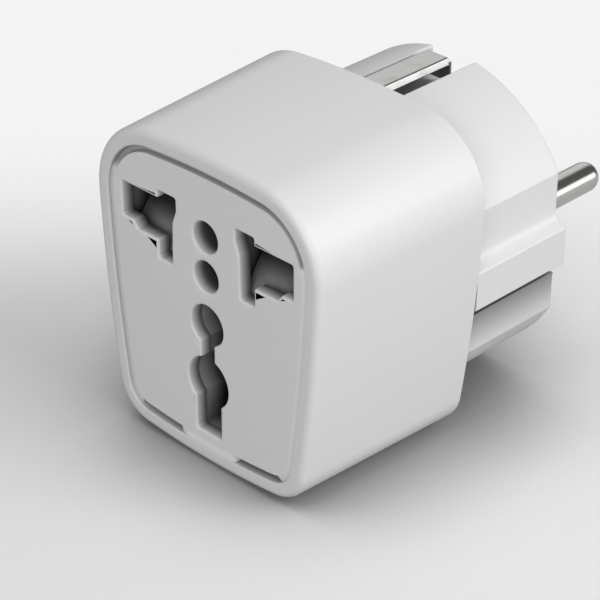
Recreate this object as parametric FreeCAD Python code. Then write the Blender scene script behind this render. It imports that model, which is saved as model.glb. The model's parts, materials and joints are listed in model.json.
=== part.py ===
import FreeCAD, Part

# Travel adapter: a multi-standard earthed socket in front, a round earthed two-pin plug behind.
#
# Millimetres. X runs to the right of someone who faces the socket, Y from the socket to the pins'
# tips, Z up. The origin lies midway along the length, under the lowest line of the body. Depths are
# measured backwards from the rim round the face, heights upwards from the bottom.

import math
import os

V = FreeCAD.Vector
BACKWARDS = V(0, 1, 0)

# Overall lengths
BODY_DEPTH = 26.5
PLUG_DEPTH = 16.5
PIN_LENGTH = 17.2
FRONT = -(BODY_DEPTH + PLUG_DEPTH + PIN_LENGTH) / 2
RIM_END = BODY_DEPTH + PLUG_DEPTH
TIP = RIM_END + PIN_LENGTH

# Section of the body at its front: four shallow arcs, joined by round corners. Towards the rear
# the sides and the top stand out further, by the drafts.
BODY_HEIGHT = 42.3
TOP_WIDTH = 38.0
BOTTOM_WIDTH = 31.0
TOP_BULGE = 1.5
SIDE_BULGE = 0.85
BOTTOM_BULGE = 1.15
TOP_CORNER = 10.0
BOTTOM_CORNER = 5.6
WALL = 1.6
FRONT_ROUND = 1.0
DRAFT = 1.2
TOP_DRAFT = 0.9

# Clearances
FIT = 0.1
MOVE = 0.3
HOLE_FIT = 0.05

# Face and its rim
RIM = 2.1
FACE_RECESS = 0.25
FACE_THICKNESS = 2.0
FLANGE_THICKNESS = 1.2
FLANGE_WIDTH = 1.2
GROOVE_WIDTH = 0.9
GROOVE_DEPTH = 1.0
TOP_GROOVE_FOOT = 3.4
PRY_GROOVE_GAP = 10.0
PRY_GROOVE_TOP = 5.0
SLOT_EDGE = 0.25

# Line and neutral slots, measured from the middle of the face and from the socket's row
SOCKET_BELOW_TOP = 10.9
SOCKET_HEIGHT = BODY_HEIGHT - SOCKET_BELOW_TOP
SLOT_NEAR = 5.05
SLOT_FAR = 14.4
SLOT_TOP = 3.2
SLOT_TOP_NEAR_END = 1.55
SLOT_STEP = 8.1
SLOT_SHOULDER = 2.15
SLOT_CHAMFER_TOP = 2.45
SLOT_CHAMFER_BOTTOM = 3.4
SLOT_CHAMFER_FAR = 12.65
SLOT_CHAMFER_NEAR = 11.75
SLOT_FOOT = 5.9
SLOT_FOOT_NEAR = 5.85
SLOT_WAIST = 5.7
SLOT_WAIST_DROP = 0.2

# Holes in the middle of the face. The keyhole's reach follows the body's height.
SMALL_HOLE_RADIUS = 2.05
SMALL_HOLE_STEP = 5.25
KEYHOLE_RADIUS = 2.7
KEYHOLE_DROP = 0.28 * BODY_HEIGHT
NECK_WIDTH = 2.2
EARTH_ROUND_RADIUS = 3.4
KEYHOLE_STEP = 8.0
EARTH_ROUND_DROP = KEYHOLE_DROP + KEYHOLE_STEP
EARTH_SLOT_WIDTH = 4.2
EARTH_SLOT_FOOT = 4.2
EARTH_SLOT_DROP = SOCKET_HEIGHT - EARTH_SLOT_FOOT

# Shutters
SHUTTER_LAP = 0.35
SHUTTER_DEPTH = 7.0
SHUTTER_LIP = 0.7
SHUTTER_BACK_WALL = 0.6
SHUTTER_TRAVEL = 7.2
SHUTTER_REST_GAP = 0.8
SPRING_WIRE = 0.35
SPRING_RADIUS = 1.45
SPRING_TURNS = 7
SPRING_SEAT = 3.2
SPRING_PEG = 1.5

# Contact carrier
CARRIER_PLATE = 1.8
CARRIER_WALL = 1.0
JAW_WALL = 2.6
SHELL_GAP = 0.25
CARRIER_TO_COVER = 4.0
COLUMN_WIDTH = 8.7
POST_RADIUS = 1.6
UPPER_POST_X = 10.8
UPPER_POST_RISE = 6.9
LOWER_POST_X = 11.5
LOWER_POST_HEIGHT = 5.4

# Contacts
SHEET = 0.8
LEAF = 0.6
JAW_NEAR = 5.5
JAW_FAR = 15.0
JAW_HALF_HEIGHT = 4.4
JAW_MOUTH = 1.2
RIVET_RADIUS = 0.9
RIVET_HEAD_RADIUS = 1.35
RIVET_HEAD = 0.6
STRAP_WIDTH = 5.0
STRAP_DROP = 7.2
EARTH_STRAP_WIDTH = 6.0
EARTH_STRAP_SHEET = 0.8
EARTH_RIVET_DROPS = (8.3, 15.9)

# Plug. It stands just clear of the floor, and its clips and screws follow its radius.
PLUG_LOWERING = 0.05
PLUG_HEIGHT = BODY_HEIGHT / 2 - PLUG_LOWERING
PLUG_ABOVE_FLOOR = 1.1
PLUG_RADIUS = PLUG_HEIGHT - PLUG_ABOVE_FLOOR
PLUG_WALL = 1.5
FLAT_WALL = 2.4
PLUG_END = 2.0
PLUG_EDGE = 0.4
FLAT_DEPTH = 2.4
FLAT_HALF = PLUG_RADIUS - FLAT_DEPTH
RIB_DEPTH = 0.7
RIB_HALF = PLUG_RADIUS - RIB_DEPTH
RIB_TOP = 2.55
RIB_BASE = 3.3
NOTCH_WIDTH = 6.8
NOTCH_DEPTH = 3.4
NOTCH_FLOOR = PLUG_RADIUS - NOTCH_DEPTH
COVER_PLATE = 2.0

# Pins
PIN_X = 9.5
PIN_RADIUS = 2.0
PIN_COLLAR_RADIUS = 2.3
PIN_COLLAR_PROUD = 0.3
PIN_FLANGE_RADIUS = 3.6
PIN_FLANGE = 1.4
PIN_TAIL_RADIUS = 1.2
PIN_TAIL_HEAD_RADIUS = 2.0
PIN_TAIL_HEAD = 0.8
RETAINER_DEPTH = 2.1
RETAINER_SIDE_GAP = 0.8
RETAINER_HALF_WIDTH = FLAT_HALF - FLAT_WALL - RETAINER_SIDE_GAP
RETAINER_HALF_HEIGHT = 3.4
RETAINER_EAR_WIDTH = 6.4
RETAINER_EAR = 8.7

# Earth clips
CLIP_PROUD = 0.7
CLIP_CREST = PLUG_RADIUS + CLIP_PROUD
CLIP_WIDTH = 4.1
CLIP_SHEET = 0.5
CLIP_EDGE = 0.35
CLIP_SKIRT = 1.0
CLIP_END = 40.2
CLIP_LEG_GAP = 0.9
CLIP_LEG_FOOT = NOTCH_FLOOR + CLIP_LEG_GAP
CLIP_BEND = 1.2
CLIP_TAB = 5.4
CLIP_RELIEF = 0.25

# Screws
HOUSING_SCREW_X = 0.36 * PLUG_RADIUS
HOUSING_SCREW_DROP = 0.7 * PLUG_RADIUS
HOUSING_SCREW_RADIUS = 1.2
HOUSING_SCREW_HEAD_RADIUS = 2.1
HOUSING_SCREW_HEAD = 1.6
HOUSING_SCREW_LENGTH = 14.4
HOUSING_SCREW_SINK = 12.5
PILLAR_RADIUS = 2.6
PILLAR_START = 12.0
TUBE_RADIUS = 3.0
RETAINER_SCREW_DROP = 6.0
RETAINER_SCREW_RADIUS = 1.0
RETAINER_SCREW_HEAD_RADIUS = 1.9
RETAINER_SCREW_HEAD = 1.4
RETAINER_SCREW_LENGTH = 4.8
RETAINER_BOSS_RADIUS = 2.4
DRIVE_WIDTH = 0.6
DRIVE_DEPTH = 0.7

# Depths that follow
FACE_BACK = FACE_THICKNESS
SHUTTER_FRONT = FACE_BACK + MOVE
SHUTTER_BACK = SHUTTER_FRONT + SHUTTER_DEPTH
PLATE_FRONT = SHUTTER_BACK + MOVE
PLATE_BACK = PLATE_FRONT + CARRIER_PLATE
COVER_FRONT = BODY_DEPTH - COVER_PLATE
CARRIER_DEPTH = COVER_FRONT - CARRIER_TO_COVER
BASE_BACK = CARRIER_DEPTH + SHEET
END_INSIDE = RIM_END - PLUG_END
FLANGE_FRONT = END_INSIDE - PIN_FLANGE
RETAINER_FRONT = FLANGE_FRONT - RETAINER_DEPTH
STRAP_TAB_BACK = RETAINER_FRONT - FIT
EARTH_STRAP_BACK = BASE_BACK + EARTH_STRAP_SHEET
CLIP_TAB_MIDDLE = EARTH_STRAP_BACK + CLIP_SHEET / 2

# Shutter and chamber, measured from the middle of the face and from the socket's row
SHUTTER_NEAR = SLOT_NEAR - SHUTTER_LAP
SHUTTER_FAR = SLOT_FAR + SHUTTER_LAP
SHUTTER_TOP = SLOT_TOP + SHUTTER_LAP
SHUTTER_BOTTOM = -SLOT_FOOT - SHUTTER_LAP
CHAMBER_FLOOR = SHUTTER_BOTTOM - SHUTTER_TRAVEL - SHUTTER_REST_GAP
SPRING_X = (SHUTTER_NEAR + SHUTTER_FAR) / 2
SPRING_BORE = SPRING_RADIUS + SPRING_WIRE / 2 + MOVE
SPRING_DEPTH = SHUTTER_BACK - SPRING_BORE - SHUTTER_BACK_WALL

SIDES = (-1, 1)


# Basic solids

def block(x, depth, height):
    """A box between two values of x, of depth and of height."""
    size = (x[1] - x[0], depth[1] - depth[0], height[1] - height[0])
    return Part.makeBox(*size, V(x[0], FRONT + depth[0], height[0]))


def mirrored_block(side, x, depth, height):
    """A box whose x values are measured outwards on one side of the middle."""
    low, high = sorted((side * x[0], side * x[1]))
    return block((low, high), depth, height)


def rod(radius, depth, x, height):
    """A cylinder that lies along the depth."""
    return Part.makeCylinder(radius, depth[1] - depth[0], V(x, FRONT + depth[0], height), BACKWARDS)


def prism(points, depth):
    """Points of (x, height), carried along the depth."""
    corners = [V(x, FRONT + depth[0], height) for x, height in points]
    face = Part.Face(Part.makePolygon(corners + corners[:1]))
    return face.extrude(V(0, depth[1] - depth[0], 0))


def side_prism(points, x):
    """Points of (depth, height), carried from one value of x to another."""
    corners = [V(x[0], FRONT + depth, height) for depth, height in points]
    face = Part.Face(Part.makePolygon(corners + corners[:1]))
    return face.extrude(V(x[1] - x[0], 0, 0))


def fuse(shapes):
    """One solid from several that meet."""
    joined = shapes[0].multiFuse(shapes[1:]) if len(shapes) > 1 else shapes[0]
    return joined.removeSplitter()


def cut(shape, tools):
    """The shape without the tools."""
    return shape.cut(tools)


def mirror_plug(shape):
    """The shape turned over about the plug's middle height."""
    return shape.mirror(V(0, 0, PLUG_HEIGHT), V(0, 0, 1))


# Body section

def bulged_side(start, end, bulge):
    """Centre and radius of the arc over a chord, and the middle of the chord."""
    run = (end[0] - start[0], end[1] - start[1])
    chord = math.hypot(*run)
    outward = (-run[1] / chord, run[0] / chord)
    radius = (chord ** 2 / 4 + bulge ** 2) / (2 * bulge)
    middle = ((start[0] + end[0]) / 2, (start[1] + end[1]) / 2)
    centre = (middle[0] + outward[0] * (bulge - radius), middle[1] + outward[1] * (bulge - radius))
    return centre, radius, middle


def corner_centre(first, second, radius, corner):
    """Centre of the round that touches two arcs from inside: where their smaller circles cross."""
    (centre_a, radius_a, _), (centre_b, radius_b, _) = first, second
    a, b = radius_a - radius, radius_b - radius
    run = (centre_b[0] - centre_a[0], centre_b[1] - centre_a[1])
    apart = math.hypot(*run)
    along = (a ** 2 - b ** 2 + apart ** 2) / (2 * apart)
    aside = math.sqrt(a ** 2 - along ** 2)
    unit = (run[0] / apart, run[1] / apart)
    foot = (centre_a[0] + unit[0] * along, centre_a[1] + unit[1] * along)
    choices = [(foot[0] - s * unit[1] * aside, foot[1] + s * unit[0] * aside) for s in SIDES]
    return min(choices, key=lambda p: math.dist(p, corner))


def towards(centre, point, distance):
    """The point at a distance from a centre, on the way to another point."""
    reach = math.dist(centre, point)
    return tuple(c + (p - c) / reach * distance for c, p in zip(centre, point))


def outline(inset, depth, growth=(0.0, 0.0)):
    """The body's section at one depth as a face: drawn in by inset, or grown at its sides and its top."""
    high, low = BODY_HEIGHT + growth[1] - TOP_BULGE, BOTTOM_BULGE
    top, bottom = TOP_WIDTH / 2 + growth[0], BOTTOM_WIDTH / 2 + growth[0]
    corners = [(-top, high), (top, high), (bottom, low), (-bottom, low)]
    bulges = [TOP_BULGE, SIDE_BULGE, BOTTOM_BULGE, SIDE_BULGE]
    rounds = [TOP_CORNER, TOP_CORNER, BOTTOM_CORNER, BOTTOM_CORNER]
    sides = [bulged_side(corners[i], corners[(i + 1) % 4], bulges[i]) for i in range(4)]
    centres = [corner_centre(sides[i - 1], sides[i], rounds[i], corners[i]) for i in range(4)]
    edges = []
    for i, (centre, radius, middle) in enumerate(sides):
        reach = radius - inset
        start = towards(centre, centres[i], reach)
        crown = towards(centre, middle, reach)
        end = towards(centre, centres[(i + 1) % 4], reach)
        edges.append((start, crown, end))
        after = (i + 1) % 4
        next_start = towards(sides[after][0], centres[after], sides[after][1] - inset)
        halfway = tuple((p + q) / 2 for p, q in zip(end, next_start))
        turn = towards(centres[after], halfway, rounds[after] - inset)
        edges.append((end, turn, next_start))
    arcs = [Part.Arc(*(V(x, FRONT + depth, z) for x, z in arc)).toShape() for arc in edges]
    return Part.Face(Part.Wire(arcs))


def slab(inset, depth):
    """The body's section, drawn in by inset, between two depths."""
    return outline(inset, depth[0]).extrude(V(0, depth[1] - depth[0], 0))


def drafted_body():
    """The outside of the body: the front section, let out evenly towards the rear."""
    ends = [outline(0, 0), outline(0, BODY_DEPTH, (DRAFT, TOP_DRAFT))]
    return Part.makeLoft([end.OuterWire for end in ends], True, True)


def row(rise):
    """Height of something measured from the socket's row."""
    return SOCKET_HEIGHT + rise


def plug(rise):
    """Height of something measured from the plug's axis."""
    return PLUG_HEIGHT + rise


# Openings of the face

def slot_points(side):
    """Outline of the line or neutral slot."""
    points = [
        (SLOT_NEAR, SLOT_TOP),
        (SLOT_STEP, SLOT_TOP),
        (SLOT_STEP, SLOT_SHOULDER),
        (SLOT_FAR, SLOT_SHOULDER),
        (SLOT_FAR, -SLOT_CHAMFER_TOP),
        (SLOT_CHAMFER_FAR, -SLOT_CHAMFER_TOP),
        (SLOT_CHAMFER_NEAR, -SLOT_CHAMFER_BOTTOM),
        (SLOT_STEP, -SLOT_CHAMFER_BOTTOM),
        (SLOT_STEP, -SLOT_FOOT),
        (SLOT_FOOT_NEAR, -SLOT_FOOT),
        (SLOT_WAIST, -SLOT_WAIST_DROP),
        (SLOT_NEAR, SLOT_TOP_NEAR_END),
    ]
    return [(side * x, row(z)) for x, z in points]


def earth_openings(depth, extra=0.0):
    """The small round holes and the keyhole, as solids to cut away."""
    holes = [rod(SMALL_HOLE_RADIUS + extra, depth, 0, row(-i * SMALL_HOLE_STEP)) for i in range(2)]
    upper = rod(KEYHOLE_RADIUS + extra, depth, 0, row(-KEYHOLE_DROP))
    lower = rod(EARTH_ROUND_RADIUS + extra, depth, 0, row(-EARTH_ROUND_DROP))
    neck_half = NECK_WIDTH / 2 + extra
    neck = block((-neck_half, neck_half), depth, (row(-EARTH_ROUND_DROP), row(-KEYHOLE_DROP)))
    slot_half = EARTH_SLOT_WIDTH / 2 + extra
    foot = row(-EARTH_SLOT_DROP - extra)
    slot = block((-slot_half, slot_half), depth, (foot, row(-EARTH_ROUND_DROP)))
    return holes + [fuse([upper, neck, lower, slot])]


def front_edges(shape, depth, test):
    """Edges that lie in the plane at a depth and pass a test on their centre."""
    plane = FRONT + depth
    flat = [e for e in shape.Edges if all(abs(v.Y - plane) < 1e-6 for v in e.Vertexes)]
    return [e for e in flat if abs(e.CenterOfMass.y - plane) < 1e-6 and test(e.CenterOfMass)]


# Casings

def front_housing():
    """Outer shell with the rim, the screw pillars and the clips' reliefs."""
    shell = drafted_body()
    shell = shell.makeFillet(FRONT_ROUND, front_edges(shell, 0, lambda p: True))
    shell = cut(shell, [slab(RIM, (-1, FACE_THICKNESS)), slab(WALL, (FACE_THICKNESS, BODY_DEPTH + 1))])
    added = []
    bored = []
    height = plug(-HOUSING_SCREW_DROP)
    for side in SIDES:
        x = side * HOUSING_SCREW_X
        span = (PILLAR_START, COVER_FRONT - FIT)
        added.append(rod(PILLAR_RADIUS, span, x, height))
        added.append(block((x - WALL / 2, x + WALL / 2), span, (BOTTOM_BULGE, height)))
        pilot = (span[0] + WALL / 2, span[1] + 1)
        bored.append(rod(HOUSING_SCREW_RADIUS + HOLE_FIT / 2, pilot, x, height))
    half = CLIP_WIDTH / 2 + CLIP_RELIEF
    crest = CLIP_CREST + FIT
    relief = block((-half, half), (BASE_BACK, BODY_DEPTH + 1), (plug(-crest), plug(crest)))
    return cut(fuse([shell] + added), bored + [relief])


def socket_face():
    """Insert with the slots: a plate that shows inside the rim, with a flange behind the rim."""
    plate = slab(RIM + FIT / 2, (FACE_RECESS, FACE_THICKNESS))
    flange = slab(WALL + FIT, (FACE_THICKNESS, FACE_THICKNESS + FLANGE_THICKNESS))
    hollow = slab(WALL + FLANGE_WIDTH, (FACE_THICKNESS, FACE_THICKNESS + FLANGE_THICKNESS))
    face = fuse([plate, cut(flange, [hollow])])
    through = (-1, FACE_THICKNESS + 1)
    slots = [prism(slot_points(side), through) for side in SIDES]
    face = cut(face, slots + earth_openings(through))
    inside = SLOT_FAR + SLOT_EDGE
    low, high = row(-EARTH_SLOT_DROP) - SLOT_EDGE, row(SLOT_TOP) + SLOT_EDGE
    rims = front_edges(face, FACE_RECESS, lambda p: abs(p.x) < inside and low < p.z < high)
    face = face.makeChamfer(SLOT_EDGE, rims)
    return cut(face, face_grooves())


def face_grooves():
    """The groove under the top of the rim, and two short pry grooves over its bottom corners."""
    span = (-1, GROOVE_DEPTH)
    ring = cut(slab(0, span), [slab(RIM + GROOVE_WIDTH, span)])
    wide = TOP_WIDTH
    top = block((-wide, wide), span, (row(TOP_GROOVE_FOOT), BODY_HEIGHT))
    near = PRY_GROOVE_GAP / 2
    pries = [mirrored_block(side, (near, wide), span, (0, PRY_GROOVE_TOP)) for side in SIDES]
    return [ring.common(zone) for zone in [top] + pries]


def plug_section(radius, flat, rib, rib_top, rib_base, depth):
    """The plug's round section, flattened at the sides, with a rib along each flat."""
    disc = rod(radius, depth, 0, PLUG_HEIGHT)
    beyond = 2 * radius
    cuts = []
    for side in SIDES:
        cuts.append(mirrored_block(side, (rib, beyond), depth, (plug(-rib_base), plug(rib_base))))
        for turn in SIDES:
            corner = [
                (side * flat, plug(turn * rib_base)),
                (side * rib, plug(turn * rib_top)),
                (side * beyond, plug(turn * rib_top)),
                (side * beyond, plug(turn * beyond)),
                (side * flat, plug(turn * beyond)),
            ]
            cuts.append(prism(corner, depth))
    return cut(disc, cuts)


def rear_cover():
    """Plate that closes the shell, with the hollow plug body behind it."""
    body = plug_section(PLUG_RADIUS, FLAT_HALF, RIB_HALF, RIB_TOP, RIB_BASE, (BODY_DEPTH, RIM_END))
    ends = front_edges(body, RIM_END, lambda p: True)
    body = body.makeFillet(PLUG_EDGE, ends)
    notch_half = NOTCH_WIDTH / 2
    beyond = 2 * PLUG_RADIUS
    notch_span = (BODY_DEPTH, RIM_END + 1)
    notch = block((-notch_half, notch_half), notch_span, (plug(NOTCH_FLOOR), plug(beyond)))
    notches = [notch, mirror_plug(notch)]
    plate = slab(WALL + FIT, (COVER_FRONT, BODY_DEPTH))
    room = FLAT_HALF - FLAT_WALL
    span = (COVER_FRONT - 1, END_INSIDE)
    inner = rod(PLUG_RADIUS - PLUG_WALL, span, 0, PLUG_HEIGHT)
    inner = inner.common(block((-room, room), span, (plug(-PLUG_RADIUS), plug(PLUG_RADIUS))))
    roof_half = notch_half + PLUG_WALL
    roof_low = NOTCH_FLOOR - PLUG_WALL
    roof = block((-roof_half, roof_half), (COVER_FRONT - 1, RIM_END), (plug(roof_low), plug(beyond)))
    cavity = cut(inner, [roof, mirror_plug(roof)])
    cover = cut(fuse([body, plate]), notches + [cavity])
    return finish_cover(cover)


def finish_cover(cover):
    """Adds the screw tubes, the bosses and the posts, and cuts the holes and the clips' notches."""
    added = []
    cuts = []
    for side in SIDES:
        x = side * HOUSING_SCREW_X
        height = plug(-HOUSING_SCREW_DROP)
        seat = RIM_END - HOUSING_SCREW_SINK
        added.append(rod(TUBE_RADIUS, (COVER_FRONT, END_INSIDE + FIT), x, height))
        cuts.append(rod(HOUSING_SCREW_RADIUS + HOLE_FIT, (COVER_FRONT - 1, seat + 1), x, height))
        cuts.append(rod(HOUSING_SCREW_HEAD_RADIUS + FIT, (seat, RIM_END + 1), x, height))
        hole = PIN_COLLAR_RADIUS + HOLE_FIT
        cuts.append(rod(hole, (END_INSIDE - 1, RIM_END + 1), side * PIN_X, PLUG_HEIGHT))
        height = plug(side * RETAINER_SCREW_DROP)
        added.append(rod(RETAINER_BOSS_RADIUS, (FLANGE_FRONT, END_INSIDE + FIT), 0, height))
        thread = (FLANGE_FRONT - 1, RETAINER_FRONT + RETAINER_SCREW_LENGTH + FIT)
        cuts.append(rod(RETAINER_SCREW_RADIUS + HOLE_FIT / 2, thread, 0, height))
    for x, height in post_places():
        added.append(rod(POST_RADIUS, (CARRIER_DEPTH, COVER_FRONT + FIT), x, height))
    half = CLIP_WIDTH / 2 + CLIP_RELIEF
    low = CLIP_CREST - CLIP_SKIRT - CLIP_RELIEF
    gap = block((-half, half), (COVER_FRONT - 1, BODY_DEPTH + 1), (plug(low), plug(2 * PLUG_RADIUS)))
    return cut(fuse([cover] + added), cuts + [gap, mirror_plug(gap)])


def post_places():
    """Where the cover's posts press on the carrier."""
    upper = [(side * UPPER_POST_X, row(UPPER_POST_RISE)) for side in SIDES]
    lower = [(side * LOWER_POST_X, LOWER_POST_HEIGHT) for side in SIDES]
    return upper + lower


# Inside mouldings

def contact_carrier():
    """Plate with the shutters' chambers in front and the contacts' pockets behind."""
    column = COLUMN_WIDTH / 2
    column_foot = row(-EARTH_SLOT_DROP) - CARRIER_WALL
    back = (PLATE_BACK, CARRIER_DEPTH)
    jaw_block = JAW_HALF_HEIGHT + MOVE + JAW_WALL
    flange_back = FACE_BACK + FLANGE_THICKNESS + FIT
    solids = [
        slab(WALL + FLANGE_WIDTH + FIT, (FACE_BACK, flange_back)),
        slab(WALL + SHELL_GAP, (flange_back, PLATE_BACK)),
        block((-JAW_FAR - JAW_WALL, JAW_FAR + JAW_WALL), back, (row(-jaw_block), row(jaw_block))),
        block((-column, column), back, (column_foot, row(jaw_block))),
    ]
    solids += [rod(POST_RADIUS, back, x, height) for x, height in post_places()]
    carrier = fuse(solids).common(slab(WALL + SHELL_GAP, (FACE_BACK, CARRIER_DEPTH)))
    carrier = cut(carrier, carrier_pockets())
    pegs = [spring_peg(side) for side in SIDES]
    return fuse([carrier] + pegs)


def carrier_pockets():
    """Chambers, jaw pockets, the windows between them and the earth passage."""
    tools = earth_openings((0, PLATE_FRONT + CARRIER_PLATE / 2))
    pocket_half = JAW_HALF_HEIGHT + MOVE
    window = JAW_HALF_HEIGHT - CARRIER_WALL
    for side in SIDES:
        chamber = (SHUTTER_NEAR - MOVE, SHUTTER_FAR + MOVE)
        heights = (row(CHAMBER_FLOOR), row(SHUTTER_TOP + MOVE))
        tools.append(mirrored_block(side, chamber, (0, PLATE_FRONT), heights))
        opening = (SLOT_NEAR, SLOT_FAR)
        plate = (PLATE_FRONT - 1, PLATE_BACK + 1)
        tools.append(mirrored_block(side, opening, plate, (row(-window), row(window))))
        pocket = (JAW_NEAR - MOVE, JAW_FAR + MOVE)
        span = (PLATE_BACK - CARRIER_PLATE / 2, CARRIER_DEPTH + 1)
        tools.append(mirrored_block(side, pocket, span, (row(-pocket_half), row(pocket_half))))
    deep = (PLATE_BACK - CARRIER_PLATE / 2, CARRIER_DEPTH + 1)
    for (half, low, high) in earth_pocket_spans():
        tools.append(block((-half, half), deep, (low, high)))
    return tools


def earth_pocket_spans():
    """Half widths and heights of the pocket behind the earth openings."""
    middle = row(-(SMALL_HOLE_STEP + KEYHOLE_DROP) / 2)
    lower = row(-EARTH_ROUND_DROP) - EARTH_ROUND_RADIUS / 2
    slot = EARTH_SLOT_WIDTH / 2 + 2 * LEAF
    small = SMALL_HOLE_RADIUS + 2 * LEAF
    wide = EARTH_ROUND_RADIUS + LEAF
    foot = row(-EARTH_SLOT_DROP)
    return [(small, middle, row(SHUTTER_TOP)), (wide, lower, middle), (slot, foot, lower)]


def spring_peg(side):
    """Peg on the chamber's floor that keeps the spring upright."""
    start = V(side * SPRING_X, FRONT + SPRING_DEPTH, row(CHAMBER_FLOOR) - CARRIER_WALL / 2)
    radius = SPRING_RADIUS - SPRING_WIRE / 2 - MOVE
    return Part.makeCylinder(radius, SPRING_PEG + CARRIER_WALL / 2, start)


def shutter(side):
    """Wedge that a plug's pin pushes down: its slope lies deeper towards the top."""
    top, bottom = row(SHUTTER_TOP), row(SHUTTER_BOTTOM)
    points = [
        (SHUTTER_FRONT, bottom),
        (SHUTTER_FRONT, bottom + SHUTTER_LIP),
        (SHUTTER_BACK - SHUTTER_LIP, top),
        (SHUTTER_BACK, top),
        (SHUTTER_BACK, bottom),
    ]
    low, high = sorted((side * SHUTTER_NEAR, side * SHUTTER_FAR))
    wedge = side_prism(points, (low, high))
    bore = V(side * SPRING_X, FRONT + SPRING_DEPTH, bottom - 1)
    return cut(wedge, [Part.makeCylinder(SPRING_BORE, SPRING_SEAT + 1, bore)])


def shutter_spring(side):
    """Helical compression spring between the chamber's floor and the seat in the shutter."""
    gap = FIT / 2
    low = row(CHAMBER_FLOOR) + SPRING_WIRE / 2 + gap
    high = row(SHUTTER_BOTTOM + SPRING_SEAT) - SPRING_WIRE / 2 - gap
    height = high - low

    def at(turns):
        angle = 2 * math.pi * turns
        x = side * SPRING_X + SPRING_RADIUS * math.cos(angle)
        y = FRONT + SPRING_DEPTH + SPRING_RADIUS * math.sin(angle)
        return V(x, y, low + height * turns / SPRING_TURNS)

    def way(turns):
        angle = 2 * math.pi * turns
        around = 2 * math.pi * SPRING_RADIUS
        return V(-around * math.sin(angle), around * math.cos(angle), height / SPRING_TURNS)

    edges = []
    for k in range(4 * SPRING_TURNS):
        turns = [k / 4, k / 4 + 0.125, k / 4 + 0.25]
        curve = Part.BSplineCurve()
        curve.interpolate(
            Points=[at(t) for t in turns], InitialTangent=way(turns[0]), FinalTangent=way(turns[2])
        )
        edges.append(curve.toShape())
    ring = Part.Wire(Part.makeCircle(SPRING_WIRE / 2, at(0), way(0)))
    return Part.Wire(edges).makePipeShell([ring], True, True)


def pin_retainer():
    """Bar with two ears that clamps the pins' flanges to the plug's end wall."""
    span = (RETAINER_FRONT, FLANGE_FRONT)
    half, tall = RETAINER_HALF_WIDTH, RETAINER_HALF_HEIGHT
    bar = block((-half, half), span, (plug(-tall), plug(tall)))
    ear = RETAINER_EAR_WIDTH / 2
    ears = block((-ear, ear), span, (plug(-RETAINER_EAR), plug(RETAINER_EAR)))
    holes = [rod(PIN_RADIUS + FIT, (span[0] - 1, span[1] + 1), s * PIN_X, PLUG_HEIGHT) for s in SIDES]
    screw_hole = RETAINER_SCREW_RADIUS + FIT
    holes += [rod(screw_hole, (span[0] - 1, span[1] + 1), 0, plug(s * RETAINER_SCREW_DROP)) for s in SIDES]
    return cut(fuse([bar, ears]), holes)


# Conductors

def pin(side):
    """Round pin with a domed tip, a collar in the end wall, a flange and a riveted tail."""
    x = side * PIN_X
    straight = TIP - PIN_RADIUS
    shank = rod(PIN_RADIUS, (STRAP_TAB_BACK, straight), x, PLUG_HEIGHT)
    tip = Part.makeSphere(PIN_RADIUS, V(x, FRONT + straight, PLUG_HEIGHT))
    flange = rod(PIN_FLANGE_RADIUS, (FLANGE_FRONT, END_INSIDE), x, PLUG_HEIGHT)
    collar = rod(PIN_COLLAR_RADIUS, (FLANGE_FRONT, RIM_END + PIN_COLLAR_PROUD), x, PLUG_HEIGHT)
    tab_front = STRAP_TAB_BACK - SHEET
    tail = rod(PIN_TAIL_RADIUS, (tab_front - PIN_TAIL_HEAD / 2, STRAP_TAB_BACK + 1), x, PLUG_HEIGHT)
    head = rod(PIN_TAIL_HEAD_RADIUS, (tab_front - PIN_TAIL_HEAD, tab_front), x, PLUG_HEIGHT)
    head = head.makeFillet(PIN_TAIL_HEAD / 2, front_edges(head, tab_front - PIN_TAIL_HEAD, lambda p: True))
    return fuse([shank, tip, flange, collar, tail, head])


def leaf(profile, x):
    """A bowed strip: depth and height along it, with the sheet's thickness added outwards."""
    outward = 1 if profile[0][1] > 0 else -1
    outer = [(depth, z + outward * LEAF) for depth, z in reversed(profile)]
    return side_prism([(depth, row(z)) for depth, z in profile + outer], x)


def jaw(side):
    """Line or neutral jaw: a base with leaves above and below, and two beside the blade well."""
    base_back = (CARRIER_DEPTH, BASE_BACK)
    tall = JAW_HALF_HEIGHT - JAW_MOUTH
    wide = (JAW_NEAR, JAW_FAR)
    base = mirrored_block(side, wide, base_back, (row(-tall), row(tall)))
    wing_x = (PIN_X - STRAP_WIDTH / 2, PIN_X + STRAP_WIDTH / 2)
    wing_z = JAW_HALF_HEIGHT + MOVE + CARRIER_WALL / 2
    wing = mirrored_block(side, wing_x, base_back, (row(-wing_z), row(wing_z)))
    mouth = PLATE_BACK + MOVE
    throat = mouth + 2 * JAW_MOUTH
    solids = [base, wing]
    leaf_x = sorted((side * (SLOT_STEP + LEAF), side * JAW_FAR))
    for turn in SIDES:
        root = turn * (tall - LEAF)
        pinch = turn * (SLOT_SHOULDER - LEAF)
        profile = [(CARRIER_DEPTH, root), (throat, pinch), (mouth, root)]
        solids.append(leaf(profile, leaf_x))
    solids += [well_leaf(side, x, lean, mouth, throat) for x, lean in well_leaves()]
    return cut(fuse(solids), [rivet_hole(side * PIN_X, SOCKET_HEIGHT, (CARRIER_DEPTH - 1, BASE_BACK + 1))])


def well_leaves():
    """Near edge and lean of the two leaves that grip a flat blade."""
    return [(JAW_NEAR, 1), (SLOT_STEP - LEAF, -1)]


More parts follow.
